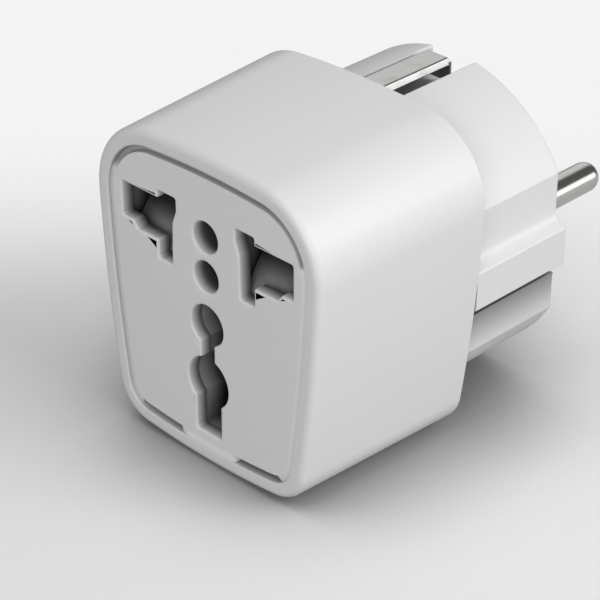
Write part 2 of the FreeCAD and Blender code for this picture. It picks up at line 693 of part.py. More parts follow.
def well_leaf(side, x, lean, mouth, throat):
    """An upright bowed leaf beside the blade well."""
    bow = lean * LEAF / 2
    tall = JAW_HALF_HEIGHT - JAW_MOUTH
    line = [(x, CARRIER_DEPTH), (x + bow, throat), (x, mouth)]
    outer = [(a + LEAF, depth) for a, depth in reversed(line)]
    corners = [V(side * a, FRONT + depth, row(-tall)) for a, depth in line + outer]
    face = Part.Face(Part.makePolygon(corners + corners[:1]))
    return face.extrude(V(0, 0, 2 * tall))


def rivet_hole(x, height, depth):
    return rod(RIVET_RADIUS + HOLE_FIT, depth, x, height)


def pin_strap(side):
    """Strip from the jaw's base down and back to the pin's tail."""
    near, far = PIN_X - STRAP_WIDTH / 2, PIN_X + STRAP_WIDTH / 2
    bottom = row(-STRAP_DROP)
    drop = (BASE_BACK, BASE_BACK + SHEET)
    riser = mirrored_block(side, (near, far), drop, (bottom, row(RIVET_HEAD_RADIUS + SHEET)))
    tab = (STRAP_TAB_BACK - SHEET, STRAP_TAB_BACK)
    run = mirrored_block(side, (near, far), (drop[0], tab[1]), (bottom, bottom + SHEET))
    ends = mirrored_block(side, (near, far), tab, (plug(-PIN_TAIL_HEAD_RADIUS - SHEET), bottom + SHEET))
    x = side * PIN_X
    holes = [rivet_hole(x, SOCKET_HEIGHT, (drop[0] - 1, drop[1] + 1))]
    holes.append(rod(PIN_TAIL_RADIUS + HOLE_FIT, (tab[0] - 1, tab[1] + 1), x, PLUG_HEIGHT))
    return cut(fuse([riser, run, ends]), holes)


def rivet(x, height, depth):
    """Rivet with a rounded head on each side of the sheets that it joins."""
    shank = rod(RIVET_RADIUS, depth, x, height)
    heads = []
    for near, far in ((depth[0] - RIVET_HEAD, depth[0]), (depth[1], depth[1] + RIVET_HEAD)):
        head = rod(RIVET_HEAD_RADIUS, (near, far), x, height)
        face = near if near < depth[0] else far
        heads.append(head.makeFillet(RIVET_HEAD / 2, front_edges(head, face, lambda p: True)))
    return fuse([shank] + heads)


def earth_contact():
    """Base strip with pairs of leaves behind the small holes, the keyhole and the earth slot."""
    column = COLUMN_WIDTH / 2
    top = row(SHUTTER_TOP - MOVE)
    foot = clip_rivet_heights()[1] + RIVET_HEAD_RADIUS + MOVE
    half = SMALL_HOLE_RADIUS + LEAF
    base_back = (CARRIER_DEPTH, BASE_BACK)
    base = block((-half, half), base_back, (foot, top))
    wing_low, wing_high = row(-KEYHOLE_DROP - KEYHOLE_RADIUS), row(-KEYHOLE_DROP + KEYHOLE_RADIUS)
    wing = block((-column, column), base_back, (wing_low, wing_high))
    solids = [base, wing]
    for middle, tall, gap in earth_leaf_places():
        solids += [earth_leaf(side, middle, tall, gap) for side in SIDES]
    span = (CARRIER_DEPTH - 1, BASE_BACK + 1)
    holes = [rivet_hole(0, row(-drop), span) for drop in EARTH_RIVET_DROPS]
    return cut(fuse(solids), holes)


def earth_leaf_places():
    """Middle height, half height and half gap of each pair of earth leaves."""
    slot_middle = (EARTH_ROUND_DROP + EARTH_ROUND_RADIUS / 2 + EARTH_SLOT_DROP) / 2
    slot_tall = (EARTH_SLOT_DROP - EARTH_ROUND_DROP - EARTH_ROUND_RADIUS / 2) / 2 - MOVE
    return [
        (row(0), SMALL_HOLE_RADIUS, SMALL_HOLE_RADIUS),
        (row(-SMALL_HOLE_STEP), SMALL_HOLE_RADIUS, SMALL_HOLE_RADIUS),
        (row(-KEYHOLE_DROP), KEYHOLE_RADIUS - LEAF, SMALL_HOLE_RADIUS + LEAF),
        (row(-EARTH_ROUND_DROP), EARTH_ROUND_RADIUS / 2 - MOVE, SMALL_HOLE_RADIUS + LEAF),
        (row(-slot_middle), slot_tall, EARTH_SLOT_WIDTH / 2),
    ]


def earth_leaf(side, middle, tall, gap):
    """An upright leaf that bows towards the middle, then flares at its mouth."""
    root = SMALL_HOLE_RADIUS
    mouth = PLATE_BACK + MOVE
    throat = mouth + 2 * JAW_MOUTH
    line = [(root, CARRIER_DEPTH + SHEET / 2), (gap - LEAF / 2, throat), (gap, mouth)]
    outer = [(x + LEAF, depth) for x, depth in reversed(line)]
    corners = [V(side * x, FRONT + depth, middle - tall) for x, depth in line + outer]
    face = Part.Face(Part.makePolygon(corners + corners[:1]))
    return face.extrude(V(0, 0, 2 * tall))


def earth_strap():
    """Strip up the middle of the body, behind the earth contact, that both clips are riveted to."""
    half = EARTH_STRAP_WIDTH / 2
    reach = CLIP_CREST - CLIP_SHEET - CLIP_BEND
    strap = block((-half, half), (BASE_BACK, EARTH_STRAP_BACK), (plug(-reach), plug(reach)))
    span = (BASE_BACK - 1, EARTH_STRAP_BACK + 1)
    places = [row(-drop) for drop in EARTH_RIVET_DROPS] + clip_rivet_heights()
    return cut(strap, [rivet_hole(0, height, span) for height in places])


def clip_rivet_heights():
    """Heights of the rivets that hold the clips' tabs."""
    reach = CLIP_CREST - CLIP_TAB + RIVET_HEAD_RADIUS + FIT
    return [plug(reach), plug(-reach)]


def turn_point(centre, radius, angle):
    """A point on a circle in the plane of depth and height, from its top towards the rear."""
    turn = math.radians(angle)
    return V(0, FRONT + centre[0] + radius * math.sin(turn), centre[1] + radius * math.cos(turn))


def clip_side(offset, tab_end):
    """Points down one face of the clip's front: the end of its tab, the bend and the run's start."""
    middle = plug(CLIP_CREST - CLIP_SHEET / 2)
    centre = (CLIP_TAB_MIDDLE + CLIP_BEND, middle - CLIP_BEND)
    foot = V(0, FRONT + CLIP_TAB_MIDDLE - offset, tab_end)
    bend = [turn_point(centre, CLIP_BEND + offset, angle) for angle in (-90, -45, 0)]
    return foot, bend, V(0, FRONT + COVER_FRONT + CLIP_SHEET, middle + offset)


def clip_front():
    """The clip's tab and the bend over which it turns backwards."""
    tab_end = plug(CLIP_CREST - CLIP_TAB)
    half = CLIP_SHEET / 2
    top_foot, top_bend, top_run = clip_side(half, tab_end)
    low_foot, low_bend, low_run = clip_side(-half, tab_end)
    edges = [
        Part.makeLine(top_foot, top_bend[0]),
        Part.Arc(*top_bend).toShape(),
        Part.makeLine(top_bend[2], top_run),
        Part.makeLine(top_run, low_run),
        Part.makeLine(low_run, low_bend[2]),
        Part.Arc(*reversed(low_bend)).toShape(),
        Part.makeLine(low_bend[0], low_foot),
        Part.makeLine(low_foot, top_foot),
    ]
    strip = Part.Face(Part.Wire(edges)).extrude(V(CLIP_WIDTH, 0, 0))
    strip.translate(V(-CLIP_WIDTH / 2, 0, 0))
    return strip


def clip_run(inset, low, high):
    """The clip's straight run, drawn in by inset, between two heights."""
    half = CLIP_WIDTH / 2 - inset
    span = (COVER_FRONT - CLIP_SHEET + inset, CLIP_END - inset)
    return block((-half, half), span, (low, high))


def earth_clip():
    """Upper side clip: a strip with its edges folded down, and a leg at its end."""
    top = plug(CLIP_CREST)
    run = clip_run(0, top - CLIP_SKIRT, top)
    front = FRONT + COVER_FRONT - CLIP_SHEET
    upper = [e for e in run.Edges if all(abs(v.Z - top) < 1e-6 for v in e.Vertexes)]
    run = run.makeFillet(CLIP_EDGE, [e for e in upper if e.CenterOfMass.y > front + 1e-6])
    run = cut(run, [clip_run(CLIP_SHEET, top - CLIP_SKIRT - 1, top - CLIP_SHEET)])
    half = CLIP_WIDTH / 2
    leg = block((-half, half), (CLIP_END - CLIP_SHEET, CLIP_END), (plug(CLIP_LEG_FOOT), top - CLIP_SHEET))
    span = (EARTH_STRAP_BACK - 1, EARTH_STRAP_BACK + CLIP_SHEET + 1)
    return cut(fuse([clip_front(), run, leg]), [rivet_hole(0, clip_rivet_heights()[0], span)])


# Fasteners

def screw(x, height, seat, sizes, towards_front):
    """Slotted cheese-head screw. The seat is the plane under its head."""
    shank_radius, length, head_radius, head = sizes
    ahead = -1 if towards_front else 1
    shank = sorted((seat, seat + ahead * length))
    crown = seat - ahead * head
    top = rod(head_radius, sorted((seat, crown)), x, height)
    slot_depth = sorted((crown, crown + ahead * DRIVE_DEPTH))
    across = (height - 2 * head_radius, height + 2 * head_radius)
    slot = block((x - DRIVE_WIDTH / 2, x + DRIVE_WIDTH / 2), slot_depth, across)
    return cut(fuse([top, rod(shank_radius, shank, x, height)]), [slot])


def housing_screws():
    sizes = (HOUSING_SCREW_RADIUS, HOUSING_SCREW_LENGTH, HOUSING_SCREW_HEAD_RADIUS, HOUSING_SCREW_HEAD)
    seat = RIM_END - HOUSING_SCREW_SINK
    height = plug(-HOUSING_SCREW_DROP)
    return [screw(side * HOUSING_SCREW_X, height, seat, sizes, True) for side in SIDES]


def retainer_screws():
    sizes = (RETAINER_SCREW_RADIUS, RETAINER_SCREW_LENGTH, RETAINER_SCREW_HEAD_RADIUS, RETAINER_SCREW_HEAD)
    return [screw(0, plug(s * RETAINER_SCREW_DROP), RETAINER_FRONT, sizes, False) for s in SIDES]


def contact_rivets():
    span = (CARRIER_DEPTH, BASE_BACK + SHEET)
    return [rivet(side * PIN_X, SOCKET_HEIGHT, span) for side in SIDES]


def earth_rivets():
    joined = [rivet(0, row(-drop), (CARRIER_DEPTH, EARTH_STRAP_BACK)) for drop in EARTH_RIVET_DROPS]
    tabs = (BASE_BACK, EARTH_STRAP_BACK + CLIP_SHEET)
    return joined + [rivet(0, height, tabs) for height in clip_rivet_heights()]


def parts():
    """Every sub-part by name."""
    clip = earth_clip()
    return {
        "front_housing": front_housing(),
        "socket_face": socket_face(),
        "rear_cover": rear_cover(),
        "contact_carrier": contact_carrier(),
        "pin_retainer": pin_retainer(),
        "line_pin": pin(-1),
        "neutral_pin": pin(1),
        "line_contact": jaw(-1),
        "neutral_contact": jaw(1),
        "line_strap": pin_strap(-1),
        "neutral_strap": pin_strap(1),
        "contact_rivets": Part.makeCompound(contact_rivets()),
        "earth_contact": earth_contact(),
        "earth_strap": earth_strap(),
        "earth_rivets": Part.makeCompound(earth_rivets()),
        "earth_clip_top": clip,
        "earth_clip_bottom": mirror_plug(clip),
        "shutter_left": shutter(-1),
        "shutter_right": shutter(1),
        "shutter_spring_left": shutter_spring(-1),
        "shutter_spring_right": shutter_spring(1),
        "retainer_screws": Part.makeCompound(retainer_screws()),
        "housing_screws": Part.makeCompound(housing_screws()),
    }


def main():
    os.makedirs("parts", exist_ok=True)
    for name, shape in parts().items():
        shape.exportStep("parts/" + name + ".step")
        print(name, len(shape.Solids), "solids", round(shape.Volume, 1), "mm3, valid", shape.isValid())


main()
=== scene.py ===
"""Travel adapter: the looks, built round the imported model. Metres, X right, Y towards the pins, Z up."""

import json
import math

import bmesh
import bpy
import numpy as np
from bpy.props import FloatProperty, FloatVectorProperty, PointerProperty
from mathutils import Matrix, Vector
from mathutils.geometry import delaunay_2d_cdt

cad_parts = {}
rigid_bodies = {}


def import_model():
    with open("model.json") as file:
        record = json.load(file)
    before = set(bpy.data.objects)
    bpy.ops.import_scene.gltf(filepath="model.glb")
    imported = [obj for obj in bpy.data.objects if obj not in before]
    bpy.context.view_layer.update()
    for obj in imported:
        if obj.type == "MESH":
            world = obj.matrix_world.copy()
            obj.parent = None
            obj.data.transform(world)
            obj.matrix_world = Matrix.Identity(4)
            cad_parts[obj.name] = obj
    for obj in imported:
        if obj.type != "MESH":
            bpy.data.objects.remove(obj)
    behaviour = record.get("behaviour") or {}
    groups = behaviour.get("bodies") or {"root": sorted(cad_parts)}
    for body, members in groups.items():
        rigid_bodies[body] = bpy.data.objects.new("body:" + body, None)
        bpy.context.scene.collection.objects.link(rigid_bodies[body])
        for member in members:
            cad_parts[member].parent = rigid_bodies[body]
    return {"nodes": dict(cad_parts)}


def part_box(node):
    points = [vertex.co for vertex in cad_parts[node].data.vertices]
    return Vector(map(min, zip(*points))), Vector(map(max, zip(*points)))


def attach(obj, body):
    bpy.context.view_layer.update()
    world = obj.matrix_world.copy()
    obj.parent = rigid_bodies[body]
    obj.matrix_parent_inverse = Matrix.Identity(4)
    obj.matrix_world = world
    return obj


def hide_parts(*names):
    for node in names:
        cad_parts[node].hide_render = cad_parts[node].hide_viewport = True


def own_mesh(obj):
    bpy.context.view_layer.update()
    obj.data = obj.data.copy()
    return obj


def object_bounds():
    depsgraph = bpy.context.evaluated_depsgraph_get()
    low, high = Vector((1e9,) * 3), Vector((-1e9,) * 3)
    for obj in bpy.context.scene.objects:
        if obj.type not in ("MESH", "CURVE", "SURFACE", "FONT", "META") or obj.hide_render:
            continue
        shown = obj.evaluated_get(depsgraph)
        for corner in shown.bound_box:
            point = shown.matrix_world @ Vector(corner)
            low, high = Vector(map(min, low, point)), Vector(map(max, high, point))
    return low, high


for old in list(bpy.data.objects):
    bpy.data.objects.remove(old)

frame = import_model()
CAD_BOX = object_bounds()
NODES = frame["nodes"]
FRONT = CAD_BOX[0].y

bl_info = {
    "name": "Travel adapter",
    "version": (1, 0, 0),
    "blender": (4, 5, 0),
    "location": "3D View > Sidebar > Adapter",
    "description": "Builds the surfaces, finishes and stage of a travel adapter round its packed frame",
    "category": "Object",
}

MM = 0.001
FULL_TURN = 2 * math.pi
MAIN_BODY = "adapter"
# The face's bottom border lies further than this below the slots' row.
LOW_BORDER = -20 * MM


def length(name, millimetres, description):
    """A length property, given in millimetres and kept in metres."""
    value = millimetres * MM
    return FloatProperty(name=name, description=description, default=value, unit="LENGTH", precision=5)


def share(name, value, description):
    """A property from 0 to 1."""
    return FloatProperty(name=name, description=description, default=value, min=0, max=1, subtype="FACTOR")


def power(name, watts, description):
    """A lamp's power, in watts."""
    return FloatProperty(name=name, description=description, default=watts, min=0, unit="POWER")


def colour(name, value, description):
    """A linear colour property."""
    return FloatVectorProperty(name=name, description=description, default=value, size=3, subtype="COLOR",
                               min=0, max=1)


class BodySizes(bpy.types.PropertyGroup):
    """Section and depth of the rounded body."""

    height: length("Height", 42.3, "Height of the body's front over its bulged top and bottom")
    top_width: length("Top width", 38.0, "Distance between the sharp upper corners, in front")
    bottom_width: length("Bottom width", 31.0, "Distance between the sharp lower corners, in front")
    top_bulge: length("Top bulge", 1.5, "Rise of the top's arc over its chord")
    side_bulge: length("Side bulge", 0.85, "Rise of each side's arc over its chord")
    bottom_bulge: length("Bottom bulge", 1.15, "Drop of the bottom's arc under its chord")
    top_corner: length("Top corner", 10.0, "Radius of the upper corners")
    bottom_corner: length("Bottom corner", 5.6, "Radius of the lower corners")
    draft: length("Draft", 1.2, "How much further out each side stands at the rear")
    top_draft: length("Top draft", 0.9, "How much higher the top stands at the rear")
    depth: length("Depth", 26.5, "Depth of the housing")
    wall: length("Wall", 1.6, "Thickness of the housing's wall")
    front_round: length("Front round", 1.0, "Radius of the housing's front edge")
    rear_round: length("Rear round", 0.2, "Radius of the housing's rear edge")
    rim: length("Rim", 2.1, "Width of the rim round the face")
    rim_round: length("Rim round", 0.16, "Radius of the rim's inner edge")


class FaceSizes(bpy.types.PropertyGroup):
    """The insert with the slots."""

    fit: length("Fit", 0.1, "Gap between two mouldings")
    recess: length("Recess", 0.25, "Depth of the face behind the rim")
    thickness: length("Thickness", 2.0, "Depth of the plate's back")
    flange: length("Flange", 1.2, "Thickness of the flange behind the rim")
    flange_width: length("Flange width", 1.2, "Width of the flange")
    row: length("Row height", 31.4, "Height of the line and neutral slots' row")
    slot_edge: length("Slot edge", 0.34, "Width of the softened edge round each opening")
    slot_corner: length("Slot corner", 0.28, "Radius of the openings' corners")
    dip: length("Dip", 0.22, "Depth of the soft hollow all round the face")
    blend: length("Blend", 0.2, "Rise of the face towards the rim at the bottom middle")
    groove_width: length("Groove width", 0.95, "Width of the hollow and of the groove")
    groove_depth: length("Groove depth", 1.0, "Depth of the groove along the top and of the two pry grooves")
    undercut: length("Undercut", 0.3, "Width of the slit under the groove's outer edge")


class PlugSizes(bpy.types.PropertyGroup):
    """The round plug behind the body."""

    axis: length("Axis height", 21.1, "Height of the plug's axis")
    radius: length("Radius", 20.0, "Radius of the round plug body")
    end: length("End", 43.0, "Depth of the plug's end face")
    wall: length("Wall", 1.5, "Thickness of the plug's round wall")
    end_wall: length("End wall", 2.0, "Thickness of the end wall")
    plate: length("Plate", 2.0, "Thickness of the plate that closes the body")
    flat: length("Flat", 17.6, "Distance of the side flats from the middle")
    flat_wall: length("Flat wall", 2.4, "Thickness of the wall behind the flats")
    rib: length("Rib", 19.3, "Distance of the ribs' crests from the middle")
    rib_top: length("Rib half width", 2.55, "Half width of a rib's crest")
    rib_base: length("Rib root", 3.3, "Half width of a rib's root")
    rib_blend: length("Rib blend", 1.3, "Radius of the hollow above a rib")
    notch: length("Notch", 6.8, "Width of the notch for each clip")
    notch_floor: length("Notch floor", 16.6, "Distance of the notch's floor from the axis")
    edge: length("Edge", 0.4, "Radius of the end face's edge")
    pin_x: length("Pin distance", 9.5, "Distance of each pin from the middle")
    pin_radius: length("Pin radius", 2.0, "Radius of a pin")
    pin_tip: length("Pin tip", 60.2, "Depth of the pins' tips")
    collar: length("Collar radius", 2.3, "Radius of the collar round each pin")
    collar_proud: length("Collar height", 0.3, "How far the collar stands out of the end wall")
    screw_x: length("Screw distance", 7.2, "Distance of each screw well from the middle")
    screw_drop: length("Screw drop", 14.0, "Distance of the screw wells under the axis")
    screw_well: length("Screw well", 2.2, "Radius of a screw well")
    screw_hole: length("Screw hole", 1.25, "Radius of the hole under a screw's head")
    screw_tube: length("Screw tube", 3.0, "Radius of the tube round a screw well")
    screw_seat: length("Screw seat", 30.5, "Depth at which the screws' heads rest")


class ClipSizes(bpy.types.PropertyGroup):
    """The pressed metal clips above and below the plug."""

    crest: length("Crest", 20.7, "Distance of a clip's outer face from the plug's axis")
    width: length("Width", 4.1, "Width of the clip")
    sheet: length("Sheet", 0.5, "Thickness of the metal")
    skirt: length("Skirt", 1.0, "Depth of the clip's folded sides")
    lean: length("Lean", 0.35, "How far the folded sides lean inwards")
    edge: length("Edge", 0.35, "Radius of the folds")
    start: length("Start", 24.0, "Depth at which the folded sides start")
    end: length("End", 40.2, "Depth of the clip's far end")
    leg: length("Leg foot", 17.5, "Distance of the leg's foot from the plug's axis")
    bend: length("Bend", 1.2, "Radius of the bend inside the body")
    tab: length("Tab", 5.4, "Length of the tab inside the body")
    tab_depth: length("Tab depth", 22.35, "Depth of the tab's middle plane")
    relief: length("Relief", 0.25, "Gap beside the clip in the housing")
    relief_start: length("Relief start", 21.3, "Depth at which that gap starts")


class SpringSizes(bpy.types.PropertyGroup):
    """The coils that lift the shutters."""

    wire: length("Wire", 0.35, "Thickness of the springs' wire")
    turns: FloatProperty(name="Turns", description="Turns of each spring", default=7, min=1)
    travel: length("Travel", 7.2, "How far a shutter slides down")


class Finishes(bpy.types.PropertyGroup):
    """Colours of the mouldings and metals."""

    housing: colour("Housing", (0.82, 0.82, 0.815), "White of the housing and the plug")
    face: colour("Face", (0.85, 0.85, 0.85), "Pale grey-white of the face")
    inside: colour("Inside", (0.34, 0.34, 0.335), "Grey of the inner mouldings")
    shutter: colour("Shutter", (0.58, 0.58, 0.58), "Pale grey of the shutters")
    nickel: colour("Nickel", (0.74, 0.73, 0.71), "Nickel plate of the pins")
    clip: colour("Clip", (0.7, 0.7, 0.69), "Nickel plate of the clips")
    brass: colour("Brass", (0.62, 0.44, 0.2), "Brass of the contacts")
    tin: colour("Tin", (0.5, 0.5, 0.49), "Dull tin plate of the earth contact")
    zinc: colour("Zinc", (0.62, 0.63, 0.65), "Zinc plate of the screws")


class StageSettings(bpy.types.PropertyGroup):
    """Floor, lamps and camera."""

    floor: colour("Floor", (0.93, 0.93, 0.93), "Colour of the floor as the camera sees it")
    bounce: share("Bounce", 0.22, "Brightness of the floor as it lights the object")
    mirrored: share("Mirrored floor", 0.6, "Brightness of the floor as glossy surfaces reflect it")
    # The strength of the floor's painted contact shadow.
    contact: share("Contact", 0.66, "How much darker the floor is where the object nearly touches it")
    far: share("Far floor", 0.9, "Brightness of the floor far behind the object, as the camera sees it")
    room: share("Room", 0.46, "Strength of the even light")
    gloss_room: share("Reflected room", 0.1, "Strength of the room as glossy surfaces reflect it")
    gloss_card: share("Reflected card", 0.6, "Strength of a pale card at the left rear, in reflections alone")
    gloss_strip: FloatProperty(name="Reflected strip", default=1.3, min=0,
                               description="Strength of a small card at the right rear, in reflections alone")
    key: power("Key", 1.1, "Power of the soft lamp at the right")
    fill: power("Fill", 1.95, "Power of the lamp in front")
    lens: FloatProperty(name="Lens", description="Focal length of the camera in millimetres",
                        default=149.2, unit="CAMERA")


def settings():
    """The scene's own values."""
    scene = bpy.context.scene
    return scene.adapter_body, scene.adapter_face, scene.adapter_plug


def at_depth(flat, depth):
    """Points of x and height, placed at a depth behind the face."""
    deep = np.broadcast_to(FRONT + np.asarray(depth), flat.shape[:-1])
    return np.stack([flat[..., 0], deep, flat[..., 1]], -1)


def arc(centre, radius, start, end, steps):
    """Point = centre + radius x (cosine, sine) of evenly spaced angles. Gives the directions too."""
    turn = np.linspace(start, end, steps, endpoint=False)
    way = np.stack([np.cos(turn), np.sin(turn)], 1)
    return np.asarray(centre) + radius * way, way


def body_outline(steps=22, growth=0.0):
    """The body's section and its outward directions: four shallow arcs joined by four round corners.

    Each side's radius is (half chord squared + bulge squared) / (2 x bulge). Each corner's centre is where
    the two neighbouring arcs, drawn in by the corner's radius, cross. Growth runs from 0 in front to 1 at
    the rear, where the drafts are added in full.
    """
    body = settings()[0]
    high, low = body.height + growth * body.top_draft - body.top_bulge, body.bottom_bulge
    half_top = body.top_width / 2 + growth * body.draft
    half_bottom = body.bottom_width / 2 + growth * body.draft
    corners = np.array([(half_top, high), (-half_top, high), (-half_bottom, low), (half_bottom, low)])
    bulges = np.array([body.top_bulge, body.side_bulge, body.bottom_bulge, body.side_bulge])
    rounds = np.array([body.top_corner, body.top_corner, body.bottom_corner, body.bottom_corner])
    run = np.roll(corners, -1, 0) - corners
    chord = np.linalg.norm(run, axis=1)
    outward = np.stack([run[:, 1], -run[:, 0]], 1) / chord[:, None]
    radii = (chord ** 2 / 4 + bulges ** 2) / (2 * bulges)
    centres = corners + run / 2 + outward * (bulges - radii)[:, None]
    before = np.roll(centres, 1, 0)
    reach_before, reach = np.roll(radii, 1) - rounds, radii - rounds
    apart = centres - before
    gap = np.linalg.norm(apart, axis=1)
    along = (reach_before ** 2 - reach ** 2 + gap ** 2) / (2 * gap)
    aside = np.sqrt(reach_before ** 2 - along ** 2)
    unit = apart / gap[:, None]
    foot = before + unit * along[:, None]
    across = np.stack([-unit[:, 1], unit[:, 0]], 1) * aside[:, None]
    near = np.linalg.norm(foot + across - corners, axis=1) < np.linalg.norm(foot - across - corners, axis=1)
    turns = np.where(near[:, None], foot + across, foot - across)
    first = np.arctan2(*(turns - centres).T[::-1])
    last = np.arctan2(*(np.roll(turns, -1, 0) - centres).T[::-1])
    arcs = []
    for i in range(4):
        after = (i + 1) % 4
        end = first[i] + (last[i] - first[i]) % FULL_TURN
        close = end + (first[after] - end) % FULL_TURN
        arcs.append(arc(centres[i], radii[i], first[i], end, steps))
        arcs.append(arc(turns[after], rounds[after], end, close, steps))
    points, ways = zip(*arcs)
    return np.concatenate(points), np.concatenate(ways)


def mitres(points):
    """Outward directions of a closed outline that runs anticlockwise.

    Direction = sum of the two edges' unit normals / (1 + their dot product). Offset edges stay parallel.
    """
    run = np.roll(points, -1, 0) - points
    run /= np.linalg.norm(run, axis=1)[:, None]
    after = np.stack([run[:, 1], -run[:, 0]], 1)
    before = np.roll(after, 1, 0)
    return (before + after) / (1 + np.sum(before * after, 1))[:, None]


def rounded(points, radii, steps=6):
    """A closed outline with its corners rounded: each corner becomes an arc that touches both edges.

    Tangent length = radius x tan(half the turn). A corner of radius 0 stays as it is.
    """
    points = np.asarray(points, float)
    radii = np.broadcast_to(np.asarray(radii, float), len(points))
    into = points - np.roll(points, 1, 0)
    into /= np.linalg.norm(into, axis=1)[:, None]
    out = np.roll(into, -1, 0)
    turn = np.arctan2(into[:, 0] * out[:, 1] - into[:, 1] * out[:, 0], np.sum(into * out, 1))
    start = points - into * (radii * np.tan(np.abs(turn) / 2))[:, None]
    side = np.sign(turn)[:, None] * np.stack([-into[:, 1], into[:, 0]], 1)
    centre = start + side * radii[:, None]
    angle = turn[:, None] * np.linspace(0, 1, steps)
    spoke = -side[:, None]
    swung = np.stack([
        spoke[..., 0] * np.cos(angle) - spoke[..., 1] * np.sin(angle),
        spoke[..., 0] * np.sin(angle) + spoke[..., 1] * np.cos(angle),
    ], -1)
    made = (centre[:, None] + radii[:, None, None] * swung).reshape(-1, 2)
    apart = np.linalg.norm(made - np.roll(made, 1, 0), axis=1)
    return made[apart > 1e-7]


def quarter(corner, radius, start, steps=6):
    """Points of a quarter round in (outward, depth), from an angle on, about a centre."""
    turn = np.linspace(start, start + math.pi / 2, steps)
    return np.stack([corner[0] + radius * np.cos(turn), corner[1] + radius * np.sin(turn)], 1)


def lip(edge, depth, into, steps):
    """An opening's softened edge as (outward, depth): a quarter round from a flat face into the material.

    Outward = edge x (1 - sine), depth = the face's + into x edge x (1 - cosine). Into is 1 where the
    material lies behind the face and -1 where it lies in front of it.
    """
    turn = np.linspace(0, math.pi / 2, steps)
    return np.stack([edge * (1 - np.sin(turn)), depth + into * edge * (1 - np.cos(turn))], 1)


def band(outline, way, profile):
    """Carries a profile of (outward, depth) round a closed outline. Point = outline + outward x direction."""
    profile = np.asarray(profile, float)
    if profile.ndim == 2:
        profile = np.broadcast_to(profile, (len(outline),) + profile.shape)
    flat = outline[:, None] + profile[..., :1] * way[:, None]
    return at_depth(flat, profile[..., 1]), True, False


def quads(patch):
    """Vertices and four-sided faces of a grid that may close in either direction."""
    grid, wrap_rows, wrap_columns = patch
    rows, columns = grid.shape[:2]
    i = np.arange(rows if wrap_rows else rows - 1)[:, None]
    j = np.arange(columns if wrap_columns else columns - 1)[None]
    down, right = (i + 1) % rows, (j + 1) % columns
    faces = np.stack([i * columns + j, down * columns + j, down * columns + right, i * columns + right], -1)
    return grid.reshape(-1, 3), faces.reshape(-1, 4)


def inside(points, loops):
    """True where a point is inside an odd number of closed outlines."""
    odd = np.zeros(len(points), bool)
    for loop in loops:
        a, b = loop, np.roll(loop, -1, 0)
        spans = (a[:, 1] > points[:, 1:]) != (b[:, 1] > points[:, 1:])
        rise = b[:, 1] - a[:, 1]
        safe = np.where(rise == 0, 1, rise)
        crossing = a[:, 0] + (points[:, 1:] - a[:, 1]) * (b[:, 0] - a[:, 0]) / safe
        odd ^= (np.sum(spans & (points[:, :1] < crossing), 1) % 2).astype(bool)
    return odd


def sheet_between(loops, depth):
    """A flat surface at one depth inside the first outline and outside the others."""
    corners = np.concatenate(loops)
    edges, start = [], 0
    for loop in loops:
        here = np.arange(len(loop)) + start
        edges.append(np.stack([here, np.roll(here, -1)], 1))
        start += len(loop)
    links = np.concatenate(edges).tolist()
    found = delaunay_2d_cdt([Vector(c) for c in corners.tolist()], links, [], 0, 1e-9)
    points = np.array([tuple(v) for v in found[0]])
    faces = np.array(found[2])
    faces = faces[inside(points[faces].mean(1), loops)]
    return at_depth(points, depth), faces


def assemble(name, patches, finish):
    """One closed mesh from grids and flat sheets, with shared borders merged and faces turned outwards."""
    merge, degenerate, sharp = 2e-7, 1e-7, math.radians(32.0)
    vertices, faces, start = [], [], 0
    for patch in patches:
        points, cells = quads(patch) if len(patch) == 3 else patch
        vertices.append(points)
        faces += (cells + start).tolist()
        start += len(points)
    mesh = bpy.data.meshes.new(name)
    mesh.from_pydata(np.concatenate(vertices).tolist(), [], faces)
    work = bmesh.new()
    work.from_mesh(mesh)
    bmesh.ops.remove_doubles(work, verts=work.verts, dist=merge)
    bmesh.ops.dissolve_degenerate(work, edges=work.edges, dist=degenerate)
    bmesh.ops.recalc_face_normals(work, faces=work.faces)
    work.to_mesh(mesh)
    work.free()
    mesh.shade_smooth()
    mesh.set_sharp_from_angle(angle=sharp)
    mesh.materials.append(material(finish))
    piece = bpy.data.objects.new(name, mesh)
    bpy.context.scene.collection.objects.link(piece)
    even = piece.modifiers.new("Even shading", "WEIGHTED_NORMAL")
    even.keep_sharp = True
    even.weight = 60
    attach(piece, MAIN_BODY)
    return piece


def opening(points):
    """An outline turned to run anticlockwise, with the directions that lead into the material round it."""
    area = np.sum(points[:, 0] * np.roll(points[:, 1], -1) - points[:, 1] * np.roll(points[:, 0], -1))
    points = points if area > 0 else points[::-1]
    return points, mitres(points)


def circle(centre, radius, steps=72):
    """A round outline, and the directions away from its centre."""
    return arc(centre, radius, 0, FULL_TURN, steps)


def slot_outline(side):
    """The line or neutral slot, as a polygon with small rounds."""
    face = settings()[1]
    corners = np.array([
        (5.05, 3.2), (8.1, 3.2), (8.1, 2.15), (14.4, 2.15), (14.4, -2.45), (12.65, -2.45), (11.75, -3.4),
        (8.1, -3.4), (8.1, -5.9), (5.85, -5.9), (5.7, -0.2), (5.05, 1.55),
    ]) * MM
    corners = corners * (side, 1) + (0, face.row)
    return opening(rounded(corners, face.slot_corner))


